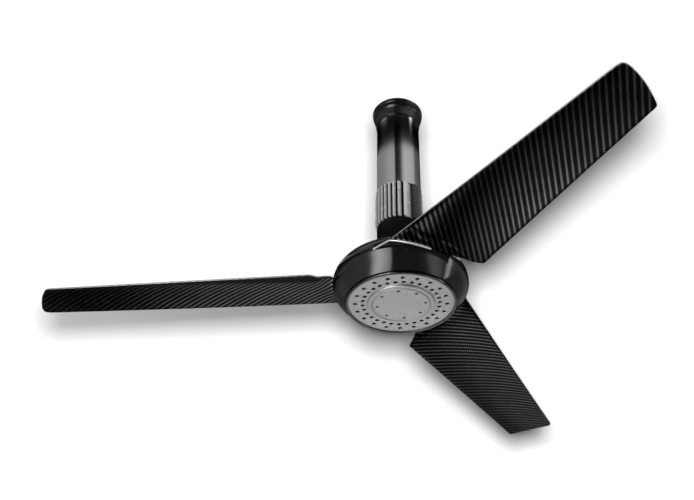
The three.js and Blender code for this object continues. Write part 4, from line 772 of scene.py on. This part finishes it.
def blade_shell():
    """Blade as a pillow over its planform. The planform is a Coons patch: (1-b) leading + b
    trailing + (1-a) root + a tip, less the corners' own blend. Near the rim the half thickness
    follows a quarter circle, so the two faces meet there."""
    line = rounded(BLADE_CORNERS, ARC_STEPS)
    lead_end = 2 + (ARC_STEPS + 1) + ARC_STEPS // 2
    trail_end = lead_end + 2 * (ARC_STEPS + 1)
    leading = line[1:lead_end + 1]
    tip = line[lead_end:trail_end + 1]
    trailing = np.concatenate([line[trail_end:], line[:1]])[::-1]
    half = BLADE_THICK / 2
    inset, lift = half * (1 - np.cos(RIM_ANGLES)), np.sin(RIM_ANGLES)
    length = leading[-1, 0] - leading[0, 0]
    inner = np.concatenate([ROOT_SHARES, SPAN_SHARES])
    a = np.concatenate([inset / length, inner, 1 - inset[::-1] / length])
    lift_a = np.concatenate([lift, 1 + 0 * inner, lift[::-1]])[:, None]

    def edge(curve):
        u = curve[0, 0] + a * (curve[-1, 0] - curve[0, 0])
        return np.stack([u, np.interp(u, curve[:, 0], curve[:, 1])], axis=-1)

    lead, trail = edge(leading), edge(trailing)
    width = np.linalg.norm(trail - lead, axis=1)[:, None]
    rim = inset[None, :] / width
    inner = rim[:, -1:] + (1 - 2 * rim[:, -1:]) * CHORD_SHARES
    b = np.concatenate([rim, inner, 1 - rim[:, ::-1]], axis=1)
    lift_b = np.concatenate([lift, 1 + 0 * CHORD_SHARES, lift[::-1]])[None, :]
    gone = way_along(tip)
    tip_at = np.stack([np.interp(b * gone[-1], gone, tip[:, axis]) for axis in (0, 1)], axis=-1)
    root_at = leading[0] + (trailing[0] - leading[0]) * b[..., None]
    a, b = a[:, None, None], b[..., None]
    corners = ((1 - a) * (1 - b) * leading[0] + (1 - a) * b * trailing[0]
               + a * (1 - b) * leading[-1] + a * b * trailing[-1])
    plan = ((1 - b) * lead[:, None] + b * trail[:, None] + (1 - a) * root_at + a * tip_at - corners)
    middle = blade_height(plan[..., 0], plan[..., 1])
    rise = half * np.minimum(lift_a, lift_b)
    upper = np.concatenate([plan, (middle + rise)[..., None]], axis=-1)
    lower = np.concatenate([plan, (middle - rise)[..., None]], axis=-1)
    return np.concatenate([upper, lower[:, ::-1]], axis=1)


def carbon_nodes(wires):
    """Two-by-two twill under lacquer, read from the blade's own map in metres. A tow floats over
    two others and dives under two, and each next tow is one step on: with whole steps i and j,
    sin(2 pi (u + j) / 4) tells the floats along the blade, sin(2 pi (v + i) / 4) the cross ones."""
    place = wires.node("ShaderNodeUVMap", {"uv_map": "weave"})
    u, v, _ = place.axes()
    u, v = u / TOW_ALONG, v / TOW_ACROSS
    i, j = wires.maths("FLOOR", u), wires.maths("FLOOR", v)
    along = wires.maths("MAXIMUM", wires.maths("SINE", (u + j) * (np.pi / 2)), 0.0) ** 1.2
    cross = wires.maths("MAXIMUM", 0.0 - wires.maths("SINE", (v + i) * (np.pi / 2)), 0.0) ** 1.2
    # Each float is lighter along its middle than at its sides: a painted sheen on the tow's rounded crown,
    # which the bump also gives as shape.
    crown_u, crown_v = u - i, v - j
    crown_u, crown_v = crown_u * (1.0 - crown_u) * 4.0, crown_v * (1.0 - crown_v) * 4.0
    cloud = wires.node("ShaderNodeTexNoise", {}, {"Vector": place, "Scale": 16.0, "Detail": 4.0})
    fibre = wires.node("ShaderNodeMapping", {}, {"Vector": place, "Scale": (60.0, 2600.0, 1.0)})
    fibre = wires.node("ShaderNodeTexNoise", {}, {"Vector": fibre, "Scale": 1.0, "Detail": 2.0})
    light = along * (0.25 + 0.75 * crown_v) * (0.6 + 0.8 * cloud) * (0.7 + 0.6 * fibre)
    light = light + 0.08 * cross * crown_u
    weave = light.blend((0.003, 0.003, 0.0031), (0.25, 0.25, 0.253))
    # The rim attribute turns the blade's rounded edge a plain, barely metallic grey: a painted highlight
    # along the edge.
    rim = wires.node("ShaderNodeAttribute", {"attribute_name": "rim"}, output=2)
    return {
        "Base Color": rim.blend(weave, (0.3, 0.3, 0.3)),
        "Metallic": 0.96 - 0.96 * rim,
        "Roughness": 0.09 - 0.02 * along,
        "Normal": (along * crown_v + cross * crown_u).bump(0.04, 0.0004),
    }


lacquer = {"Specular Tint": (0.5, 0.5, 0.5, 1.0), "Specular IOR Level": 0.02}
carbon = finish("carbon_twill", lacquer, carbon_nodes)
blade_grid = blade_shell()
for number, azimuth in enumerate(BLADE_AZIMUTHS, 1):
    blade = add_piece(f"carbon_blade_{number}", [(turned_by(azimuth, blade_grid), False, True)],
                      carbon, "rotor", [f"blade_{number}"], smooth=50.0)
    mesh = blade.data
    where = np.empty(len(mesh.vertices) * 3)
    mesh.vertices.foreach_get("co", where)
    corner_of = np.empty(len(mesh.loops), int)
    mesh.loops.foreach_get("vertex_index", corner_of)
    flat = turned_by(-azimuth, where.reshape(-1, 3))[corner_of, :2]
    mesh.uv_layers.new(name="weave").data.foreach_set("uv", flat.ravel())
    where = turned_by(-azimuth, where.reshape(-1, 3)) / MM
    # The rim attribute is 1 on the blade's rounded edge and falls to 0 on its faces; it carries the painted
    # highlight along the edge.
    off_middle = np.abs(where[:, 2] + CEILING_RISE - blade_height(where[:, 0], where[:, 1]))
    rim = np.clip(RIM_HIGHLIGHT_LEVEL - RIM_HIGHLIGHT_FALL * off_middle / (BLADE_THICK / 2), 0.0, 1.0)
    mesh.attributes.new("rim", "FLOAT", "POINT").data.foreach_set("value", rim)


# Motor housing. Two turned shells in gloss black: a bowl whose rim rises to a peak below each
# blade's leading corner, and a shoulder with a slot and a notch for each blade root.
HOUSING_RADIUS = 126.6
HOUSING_WALL = 2.4
EDGE_SOFT = 0.5
BOWL_FOOT = (103.2, 5.3)
BOWL_BULGE = 20.0
RIM = 40.4
SEAM = 40.7
CREST = (91.4, 80.8)
HOUSING_TOP = 88.0
OPENING = 30.0
FLAT_RADIUS = 50.0
BAND_TOP = 41.9
SHOULDER_STEPS = 60
EDGE_STEPS = 1500
SLOT_LEAD = -80.6
SLOT_TRAIL = 27.2
SLOT_ABOVE = 2.7
PEAK_BELOW = 4.5
NOWHERE = -1e3
NOTCH_SLOPE = 0.8146
NOTCH_START = -110.8
NOTCH_FOOT = 36.4
TRIM_END = -14.0
SLOT_ENDS = [-56.4, -41.3, 12.40, 12.44]
PEAK_LINE = (-100.25, 41.0, -79.4, 55.3)


def shoulder_line():
    """Shoulder outline: a short upright band, a quarter ellipse to the crest, then a soft corner
    to the low cone and the flat round the opening."""
    angle = np.linspace(0.0, np.pi / 2, SHOULDER_STEPS)
    across, up = HOUSING_RADIUS - CREST[0], CREST[1] - BAND_TOP
    arc = np.stack([CREST[0] + across * np.cos(angle), BAND_TOP + up * np.sin(angle)], axis=1)
    cone = np.array([[86.0, 81.9], [70.0, 84.6], [58.0, 86.7], [FLAT_RADIUS + 3, 87.45], [FLAT_RADIUS, 87.8],
                     [FLAT_RADIUS - 3, HOUSING_TOP], [40.0, HOUSING_TOP], [OPENING + 0.6, HOUSING_TOP]])
    return np.concatenate([[[HOUSING_RADIUS, SEAM]], arc, cone])


def bowl_line():
    """Bowl outline: a straight line from foot to rim, bulged by a multiple of s (1 - s)."""
    s = np.linspace(0.0, 1.0, 24)
    radius = BOWL_FOOT[0] + (HOUSING_RADIUS - BOWL_FOOT[0]) * s + BOWL_BULGE * s * (1 - s)
    return np.stack([radius, BOWL_FOOT[1] + (RIM - BOWL_FOOT[1]) * s], axis=1)


def shares_along(line):
    """Share of its length at which each point of a line lies."""
    gone = way_along(line)
    return gone / gone[-1]


def edge_share(line, azimuths, height_of, start):
    """For each azimuth, the share of the outline where it leaves the region below a height that
    depends on the place in a blade's own axes: the last sign change along the outline."""
    shares = np.linspace(start, 1.0, EDGE_STEPS)[None, :]
    at = shares_along(line)
    radius, height = np.interp(shares, at, line[:, 0]), np.interp(shares, at, line[:, 1])
    local = (azimuths - BLADE_AZIMUTHS[0] + np.pi / 3) % (2 * np.pi / 3) - np.pi / 3
    out, across = radius * np.cos(local[:, None]), radius * np.sin(local[:, None])
    over = height_of(out, across) - height
    inside = over > 0
    last = inside.shape[1] - 1 - np.argmax(inside[:, ::-1], axis=1)
    rows = np.arange(len(azimuths))
    following = np.minimum(last + 1, inside.shape[1] - 1)
    here, there = over[rows, last], over[rows, following]
    part = np.where(there > NOWHERE / 10, here / np.maximum(here - there, 1e-9), 0.5)
    found = shares[0, last] + part * (shares[0, 1] - shares[0, 0])
    return np.where(inside.any(axis=1), found, start)


def slot_height(out, across):
    """Top of a blade's slot and notch, in the blade's own axes; far below elsewhere."""
    over_blade = blade_height(out, across) + SLOT_ABOVE
    notch = NOTCH_FOOT + NOTCH_SLOPE * (across - NOTCH_START)
    return np.where(across <= SLOT_LEAD, notch, np.where(across < SLOT_TRAIL, over_blade, NOWHERE))


def peak_height(out, across):
    """Top of the bowl's peak: a line up from the seam, then the blade's underside less the trim."""
    v0, z0, v1, z1 = PEAK_LINE
    rise = np.where(across > v0, z0 + (z1 - z0) * (across - v0) / (v1 - v0), NOWHERE)
    under = np.where(across < TRIM_END, blade_height(out, across) - PEAK_BELOW, NOWHERE)
    return np.minimum(rise, under)


def walled(line, low, high, azimuths, wall, rows):
    """Shell of revolution between two shares of an outline that change with azimuth: the outer
    face, a rounded edge, and the inner face moved in along the outline's normal."""
    at = shares_along(line)
    tangent = unit(np.gradient(line, at, axis=0))
    span = (high - low)[:, None]
    length = way_along(line)[-1]
    soft = np.radians([0.0, 30.0, 60.0, 90.0])
    inset = EDGE_SOFT * (1 - np.sin(soft))[None, :] / length
    depth = EDGE_SOFT * (1 - np.cos(soft))
    middle = np.linspace(0.0, 1.0, rows)[None, 1:-1]
    start, end = low[:, None], high[:, None]
    share = np.concatenate([start + inset[:, ::-1], start + span * middle, end - inset,
                            end, start + span * middle[:, ::-1], start], axis=1)
    depth = np.concatenate([depth[::-1], np.zeros(rows - 2), depth, np.full(rows, wall)])[None, :]
    radius, height = np.interp(share, at, line[:, 0]), np.interp(share, at, line[:, 1])
    along_r, along_z = np.interp(share, at, tangent[:, 0]), np.interp(share, at, tangent[:, 1])
    return around(radius - depth * along_z, azimuths[:, None], height + depth * along_r), True, True


slot_turn = np.radians(np.concatenate([np.arange(-60.0, 60.0, 0.8), SLOT_ENDS]))
azimuths = np.sort(np.concatenate([slot_turn + turn for turn in BLADE_AZIMUTHS]))
upper_line = shoulder_line()
upper_low = edge_share(upper_line, azimuths, slot_height, 0.0)
upper_shell = walled(upper_line, upper_low, 1 + 0 * azimuths, azimuths, HOUSING_WALL, rows=44)
add_piece("motor_shoulder", [upper_shell], gloss_black, "rotor", ["upper_housing"],
          smooth=50.0)

lower_line = np.concatenate([bowl_line(), upper_line])
rim_share = shares_along(lower_line)[len(bowl_line()) - 1]
lower_high = edge_share(lower_line, azimuths, peak_height, rim_share)
lower_shell = walled(lower_line, 0 * azimuths, lower_high, azimuths, HOUSING_WALL, rows=40)
shelf_outline = rounded([[111.0, 31.3, 0.3], [122.2, 31.3, 0.3], [122.6, 34.3, 0.3], [111.0, 34.3, 0.3]], 2)
add_piece("motor_bowl", [lower_shell, spin(shelf_outline)], gloss_black, "rotor",
          ["lower_housing"], smooth=50.0)


# Slot trims. A narrow polished strip in each notch: one leg climbs to the apex at the blade's
# leading corner and the other follows the blade's underside round the shoulder.
TRIM_WIDTH = 2.6
TRIM_PROUD = 0.8
TRIM_DEEP = 3.2
TRIM_START = -102.6
TRIM_FOOT = 41.6
TRIM_APEX = 57.9
TRIM_APEX_AT = -80.5
TRIM_RUN = 22.2
TRIM_BELOW = 3.0
TRIM_SHARES = [(-102.6, -80.6, -68.0, -58.0, -40.0, -24.0, -14.0), (0.62, 0.75, 0.9, 1.6, 1.9, 1.6, 0.8)]


def metal_finish(name, dark, light, roughness, uneven, scale, metallic=1.0, stretch=(1.0, 1.0, 1.0),
                 detail=4.0, grain=0.0):
    """A metal or plastic whose colour and gloss drift between two values, with or without a fine
    grain in its surface."""
    def nodes(wires):
        cloud = noise(wires, scale, detail, stretch)
        look = {"Base Color": cloud.blend(dark, light), "Roughness": roughness + uneven * cloud}
        if grain:
            look["Normal"] = noise(wires, scale * 9, 2.0, stretch).bump(grain, 0.0003)
        return look
    return finish(name, {"Metallic": metallic}, nodes)


def trim_shell():
    """Strip swept along a path on the shoulder: at each point the section lies across the path in
    the surface, from its proud face to its root, with the corners eased."""
    v = np.concatenate([np.linspace(TRIM_START, TRIM_APEX_AT - 0.4, 16),
                        np.linspace(TRIM_APEX_AT + 0.4, TRIM_END, 44)])
    leg = TRIM_FOOT + (v - TRIM_START) * (TRIM_APEX - TRIM_FOOT) / TRIM_RUN
    radius_of = shoulder_line()[:SHOULDER_STEPS + 2]
    z = leg.copy()
    for _ in range(6):
        radius = np.interp(z, radius_of[:, 1], radius_of[:, 0])
        out = np.sqrt(radius ** 2 - v ** 2)
        z = np.where(v < TRIM_APEX_AT, leg, blade_height(out, v) - TRIM_BELOW)
    path = np.stack([out, v, z], axis=1)
    slope = np.gradient(radius_of[:, 0], radius_of[:, 1] + 1e-6 * np.arange(len(radius_of)))
    lean = -np.interp(z, radius_of[:, 1], slope)
    normal = unit(np.stack([out / radius, v / radius, lean], axis=1))
    side = unit(np.cross(normal, unit(np.gradient(path, axis=0))))
    half = TRIM_WIDTH / 2
    section = rounded([[-half, -TRIM_DEEP, 0.2], [half, -TRIM_DEEP, 0.2], [half, TRIM_PROUD, 0.5],
                       [-half, TRIM_PROUD, 0.5]], 3)
    share = np.interp(v, TRIM_SHARES[0], TRIM_SHARES[1])[:, None, None]
    strip = (path[:, None] + side[:, None] * section[None, :, :1] * share
             + normal[:, None] * section[None, :, 1:])
    ends = strip.mean(axis=1, keepdims=True) + 0 * strip
    return np.concatenate([ends[:1], strip, ends[-1:]])


polished = metal_finish("polished_trim", (0.86, 0.865, 0.87), (0.95, 0.95, 0.955), 0.10, 0.12, 500.0,
                        metallic=0.45, stretch=(1.0, 1.0, 0.2), detail=3.0)
trim_grid = trim_shell()
for number, azimuth in enumerate(BLADE_AZIMUTHS, 1):
    add_piece(f"notch_trim_{number}", [(turned_by(azimuth, trim_grid), False, True)], polished,
              "rotor", [f"slot_trim_{number}"], smooth=50.0)


# Bottom disc. A dark plated bezel holds a spun aluminium disc: a ring with two circles of air
# holes, and a raised centre plate with a pressed bead, held by eight small screws.
BEZEL_RADIUS = 103.0
LEDGE_RADIUS = 97.3
DISC_LOW = 2.1
DISC_HIGH = 3.7
DISC_EDGE = 99.0
DISC_BORE = 38.0
RING_OUTER = 92.0
RING_SPLIT = 77.6
RING_INNER = 64.0
OUTER_CIRCLE = 84.4
INNER_CIRCLE = 70.8
HOLE_RADIUS = 3.8
OUTER_HOLES_START = np.radians(77.5)
INNER_HOLES_START = np.radians(85.5)
SCREW_START = np.radians(87.0)
PLATE_RADIUS = 62.2
PLATE_HIGH = 1.8
PLATE_TURNS = 240
RING_TURNS = 360
BEAD_START = 51.2
BEAD_WIDTH = 6.0
BEAD_DEEP = 0.7
SCREW_CIRCLE = 44.8
SCREW_BAND = (38.0, 50.0)
SEAT_RADIUS = 3.1
SEAT_DEEP = 1.1
SEAT_BORE = 1.7
CAP_SCREW_OUT = 49.2
CAP_SCREW_RISE = 454.7
CAP_SCREW_AZIMUTHS = np.radians([30.0, 150.0])

bezel_outline = rounded([
    [LEDGE_RADIUS, 0.5, 0.5],
    [BEZEL_RADIUS, 0.5, 1.8],
    [BEZEL_RADIUS, 5.0, 0.4],
    [99.4, 5.0, 0.3],
    [99.4, 1.8, 0.3],
    [LEDGE_RADIUS, 1.8, 0.4],
])


def bezel_nodes(wires):
    """Dark plated edge: black with worn brighter specks along its lip."""
    specks = noise(wires, 140.0, 4.0)
    return {
        "Base Color": (specks ** 3.0).blend((0.03, 0.03, 0.032), (0.2, 0.2, 0.205)),
        "Roughness": 0.12 + 0.15 * specks,
    }


bezel_black = finish("bezel_black", {"Metallic": 1.0}, bezel_nodes)
add_piece("disc_bezel", [spin(bezel_outline, 180)], bezel_black, "rotor", ["bezel_ring"])


def pierced(count, circle, low, high, start, step, rows):
    """Ring of equal sectors with a round hole in each. A row is a blend from a circle of some
    radius to the sector's edge, at a height; all sectors are one grid turned about the axis."""
    half = np.pi / count
    arc = np.linspace(-half, half, int(round(2 * half / step)) + 1)
    side = np.linspace(high, low, 5)
    radius = np.concatenate([high + 0 * arc[:-1], side[:-1], low + 0 * arc[:-1], side[:0:-1]])
    angle = np.concatenate([arc[:-1], half + 0 * side[:-1], arc[:0:-1], -half + 0 * side[:-1]])
    edge = around(radius, angle, 0.0)[:, :2]
    centre = np.array([circle, 0.0])
    way = unit(edge - centre)
    share, hole, height = [np.array(column)[:, None] for column in zip(*rows)]
    flat = share[..., None] * edge + (1 - share[..., None]) * (centre + hole[..., None] * way)
    cell = np.concatenate([flat, (height + 0 * flat[..., 0])[..., None]], axis=-1)
    return [(turned_by(start + k * 2 * half, cell), False, True) for k in range(count)]


def spun_nodes(wires):
    """Spun aluminium: fine rings from the lathe about the fan's axis, and a soft clouded sheen."""
    x, y, _ = wires.place().axes()
    lathe = {"W": (x * x + y * y) ** 0.5, "Scale": 2600.0, "Detail": 3.0}
    rings = wires.node("ShaderNodeTexNoise", {"noise_dimensions": "1D"}, lathe)
    cloud = noise(wires, 30.0, 4.0)
    worn = rings * 0.4 + cloud * 0.2 + noise(wires, 260.0, 3.0) * 0.4
    return {
        "Base Color": worn.blend((0.28, 0.282, 0.285), (0.61, 0.612, 0.615)),
        "Roughness": 0.30 + 0.14 * cloud,
        "Normal": rings.bump(0.55, 0.0002),
    }


spun = finish("spun_aluminium", {"Metallic": 1.0}, spun_nodes)
hole_rows = [
    (1.0, HOLE_RADIUS, DISC_LOW), (0.3, HOLE_RADIUS, DISC_LOW), (0.0, HOLE_RADIUS + 0.25, DISC_LOW),
    (0.0, HOLE_RADIUS, DISC_LOW + 0.25), (0.0, HOLE_RADIUS, DISC_HIGH), (1.0, HOLE_RADIUS, DISC_HIGH),
]
degree = np.radians(1.0)
rings = pierced(20, OUTER_CIRCLE, RING_SPLIT, RING_OUTER, OUTER_HOLES_START, degree, hole_rows)
rings += pierced(30, INNER_CIRCLE, RING_INNER, RING_SPLIT, INNER_HOLES_START, degree, hole_rows)
rings.append(spin([[RING_OUTER, DISC_LOW], [DISC_EDGE, DISC_LOW], [DISC_EDGE, DISC_HIGH],
                   [RING_OUTER, DISC_HIGH]], RING_TURNS, closed=False))
rings.append(spin([[RING_INNER, DISC_HIGH], [DISC_BORE, DISC_HIGH], [DISC_BORE, DISC_LOW],
                   [RING_INNER, DISC_LOW]], RING_TURNS, closed=False))
add_piece("vent_ring", rings, spun, "rotor", ["vent_plate"], smooth=30.0)

seat_rows = [
    (1.0, SEAT_RADIUS, 0.0), (0.3, SEAT_RADIUS, 0.0), (0.0, SEAT_RADIUS + 0.25, 0.0),
    (0.0, SEAT_RADIUS, 0.25), (0.0, SEAT_RADIUS, SEAT_DEEP), (0.0, SEAT_BORE, SEAT_DEEP),
    (0.0, SEAT_BORE, PLATE_HIGH), (1.0, SEAT_BORE, PLATE_HIGH),
]
plate = pierced(8, SCREW_CIRCLE, *SCREW_BAND, SCREW_START, 1.5 * degree, seat_rows)
plate.append(spin([[SCREW_BAND[0], 0.0], [20.0, 0.0], [0.0, 0.0]], PLATE_TURNS, closed=False))
plate.append(spin([[SCREW_BAND[0], PLATE_HIGH], [0.0, PLATE_HIGH]], PLATE_TURNS, closed=False))
bead = np.linspace(0.0, 1.0, 13)
groove = np.stack([BEAD_START + BEAD_WIDTH * bead, BEAD_DEEP * np.sin(np.pi * bead) ** 2], axis=1)
plate.append(spin(np.concatenate([
    [[SCREW_BAND[1], 0.0]], groove, [[61.3, 0.0], [61.8, 0.12], [62.1, 0.4], [PLATE_RADIUS, 0.8],
                                     [PLATE_RADIUS, PLATE_HIGH], [SCREW_BAND[1], PLATE_HIGH]],
]), PLATE_TURNS, closed=False))
add_piece("centre_cap", plate, spun, "rotor", ["centre_plate"], smooth=30.0)


def screw_shell(radius, head, crown, length, socket):
    """Screw as a grid of rings: shank, a domed head and a six-sided socket, whose rings have the
    radius a / cos(angle from the middle of a side)."""
    angle = np.linspace(0.0, 2 * np.pi, 24, endpoint=False)
    hexagon = socket / np.cos((angle + np.pi / 6) % (np.pi / 3) - np.pi / 6)
    circle = 1 + 0 * angle
    rings = [(0.0 * circle, length), (radius * circle, length), (radius * circle, crown),
             (head * circle, crown), (head * circle, crown * 0.45), (head * 0.86 * circle, crown * 0.12),
             (head * 0.7 * circle, 0.0), (hexagon, 0.0), (hexagon, crown * 0.7), (0.0 * circle, crown * 0.7)]
    size = np.stack([ring for ring, _ in rings])
    height = np.array([height for _, height in rings])[:, None]
    return around(size, angle, height)


# Dark steel, far darker than the blade screws' plain steel; on the disc the screws' darkness is partly this
# dark finish and partly painted shade of their seats.
screw_steel = metal_finish("screw_steel", (0.06, 0.06, 0.06), (0.13, 0.13, 0.128), 0.26, 0.2, 180.0)
screw_grid = screw_shell(radius=1.4, head=2.8, crown=0.8, length=10.8, socket=1.2)
for number in range(8):
    turn = SCREW_START + number * np.pi / 4
    place = around(SCREW_CIRCLE, turn, 0.0)
    add_piece(f"disc_screw_{number + 1}", [(screw_grid + place, False, True)], screw_steel, "rotor",
              [f"centre_screw_{number + 1}"], smooth=30.0)

canopy_screw = screw_shell(radius=1.9, head=3.4, crown=1.8, length=7.8, socket=1.5)
for number, azimuth in enumerate(CAP_SCREW_AZIMUTHS, 1):
    out = np.stack([CAP_SCREW_OUT - canopy_screw[..., 2], canopy_screw[..., 0],
                    CAP_SCREW_RISE + canopy_screw[..., 1]], axis=-1)
    add_piece(f"cap_screw_{number}", [(turned_by(azimuth, out), False, True)], screw_steel, "mount",
              [f"canopy_screw_{number}"], smooth=30.0)


# Carried nodes. The hanger, rod, coupling, driver and motor inside keep their CAD shapes and get
# the finishes of their metals and plastics.
CARRIED_GRAIN = 0.12
carried = [
    (["ceiling_plate", "hanger_pin", "hanger_pin_clip", "coupling_pin", "coupling_clip",
      "coupling_bolt", "driver_bracket", "shaft_nut", "heat_sink_screw_1", "heat_sink_screw_2"],
     "zinc_steel", (0.50, 0.50, 0.49), (0.68, 0.68, 0.66), 0.28, 0.2, 60.0),
    (["downrod", "rod_coupling", "rotor_cup", "rotor_end_plate", "blade_bracket_1",
      "blade_bracket_2", "blade_bracket_3"],
     "dark_steel", (0.035, 0.036, 0.038), (0.07, 0.07, 0.072), 0.38, 0.2, 40.0, 0.8),
    (["motor_shaft", "upper_bearing", "lower_bearing"],
     "bearing_steel", (0.56, 0.56, 0.55), (0.7, 0.7, 0.7), 0.16, 0.12, 120.0),
    ([f"blade_screw_{number}" for number in range(1, 7)],
     "plain_screw_steel", (0.42, 0.42, 0.41), (0.58, 0.58, 0.57), 0.26, 0.2, 180.0),
    (["stator_core"],
     "lamination_steel", (0.14, 0.14, 0.145), (0.26, 0.26, 0.265), 0.45, 0.2, 300.0, 0.9, (0.1, 0.1, 6.0)),
    (["stator_winding"],
     "copper_wire", (0.42, 0.17, 0.07), (0.62, 0.28, 0.12), 0.3, 0.2, 220.0, 0.9, (1.0, 1.0, 0.2)),
    (["magnet_ring"],
     "magnet", (0.035, 0.035, 0.036), (0.06, 0.06, 0.062), 0.55, 0.2, 90.0, 0.3),
    (["driver_board"],
     "circuit_board", (0.01, 0.07, 0.025), (0.02, 0.12, 0.045), 0.35, 0.2, 120.0, 0.0),
    (["terminal_block", "tube_spacer"],
     "white_plastic", (0.66, 0.65, 0.62), (0.75, 0.74, 0.71), 0.45, 0.1, 30.0, 0.0),
]
for names, *look in carried:
    material = metal_finish(*look, grain=CARRIED_GRAIN)
    for name in names:
        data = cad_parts[name].data
        data.materials.clear()
        data.materials.append(material)
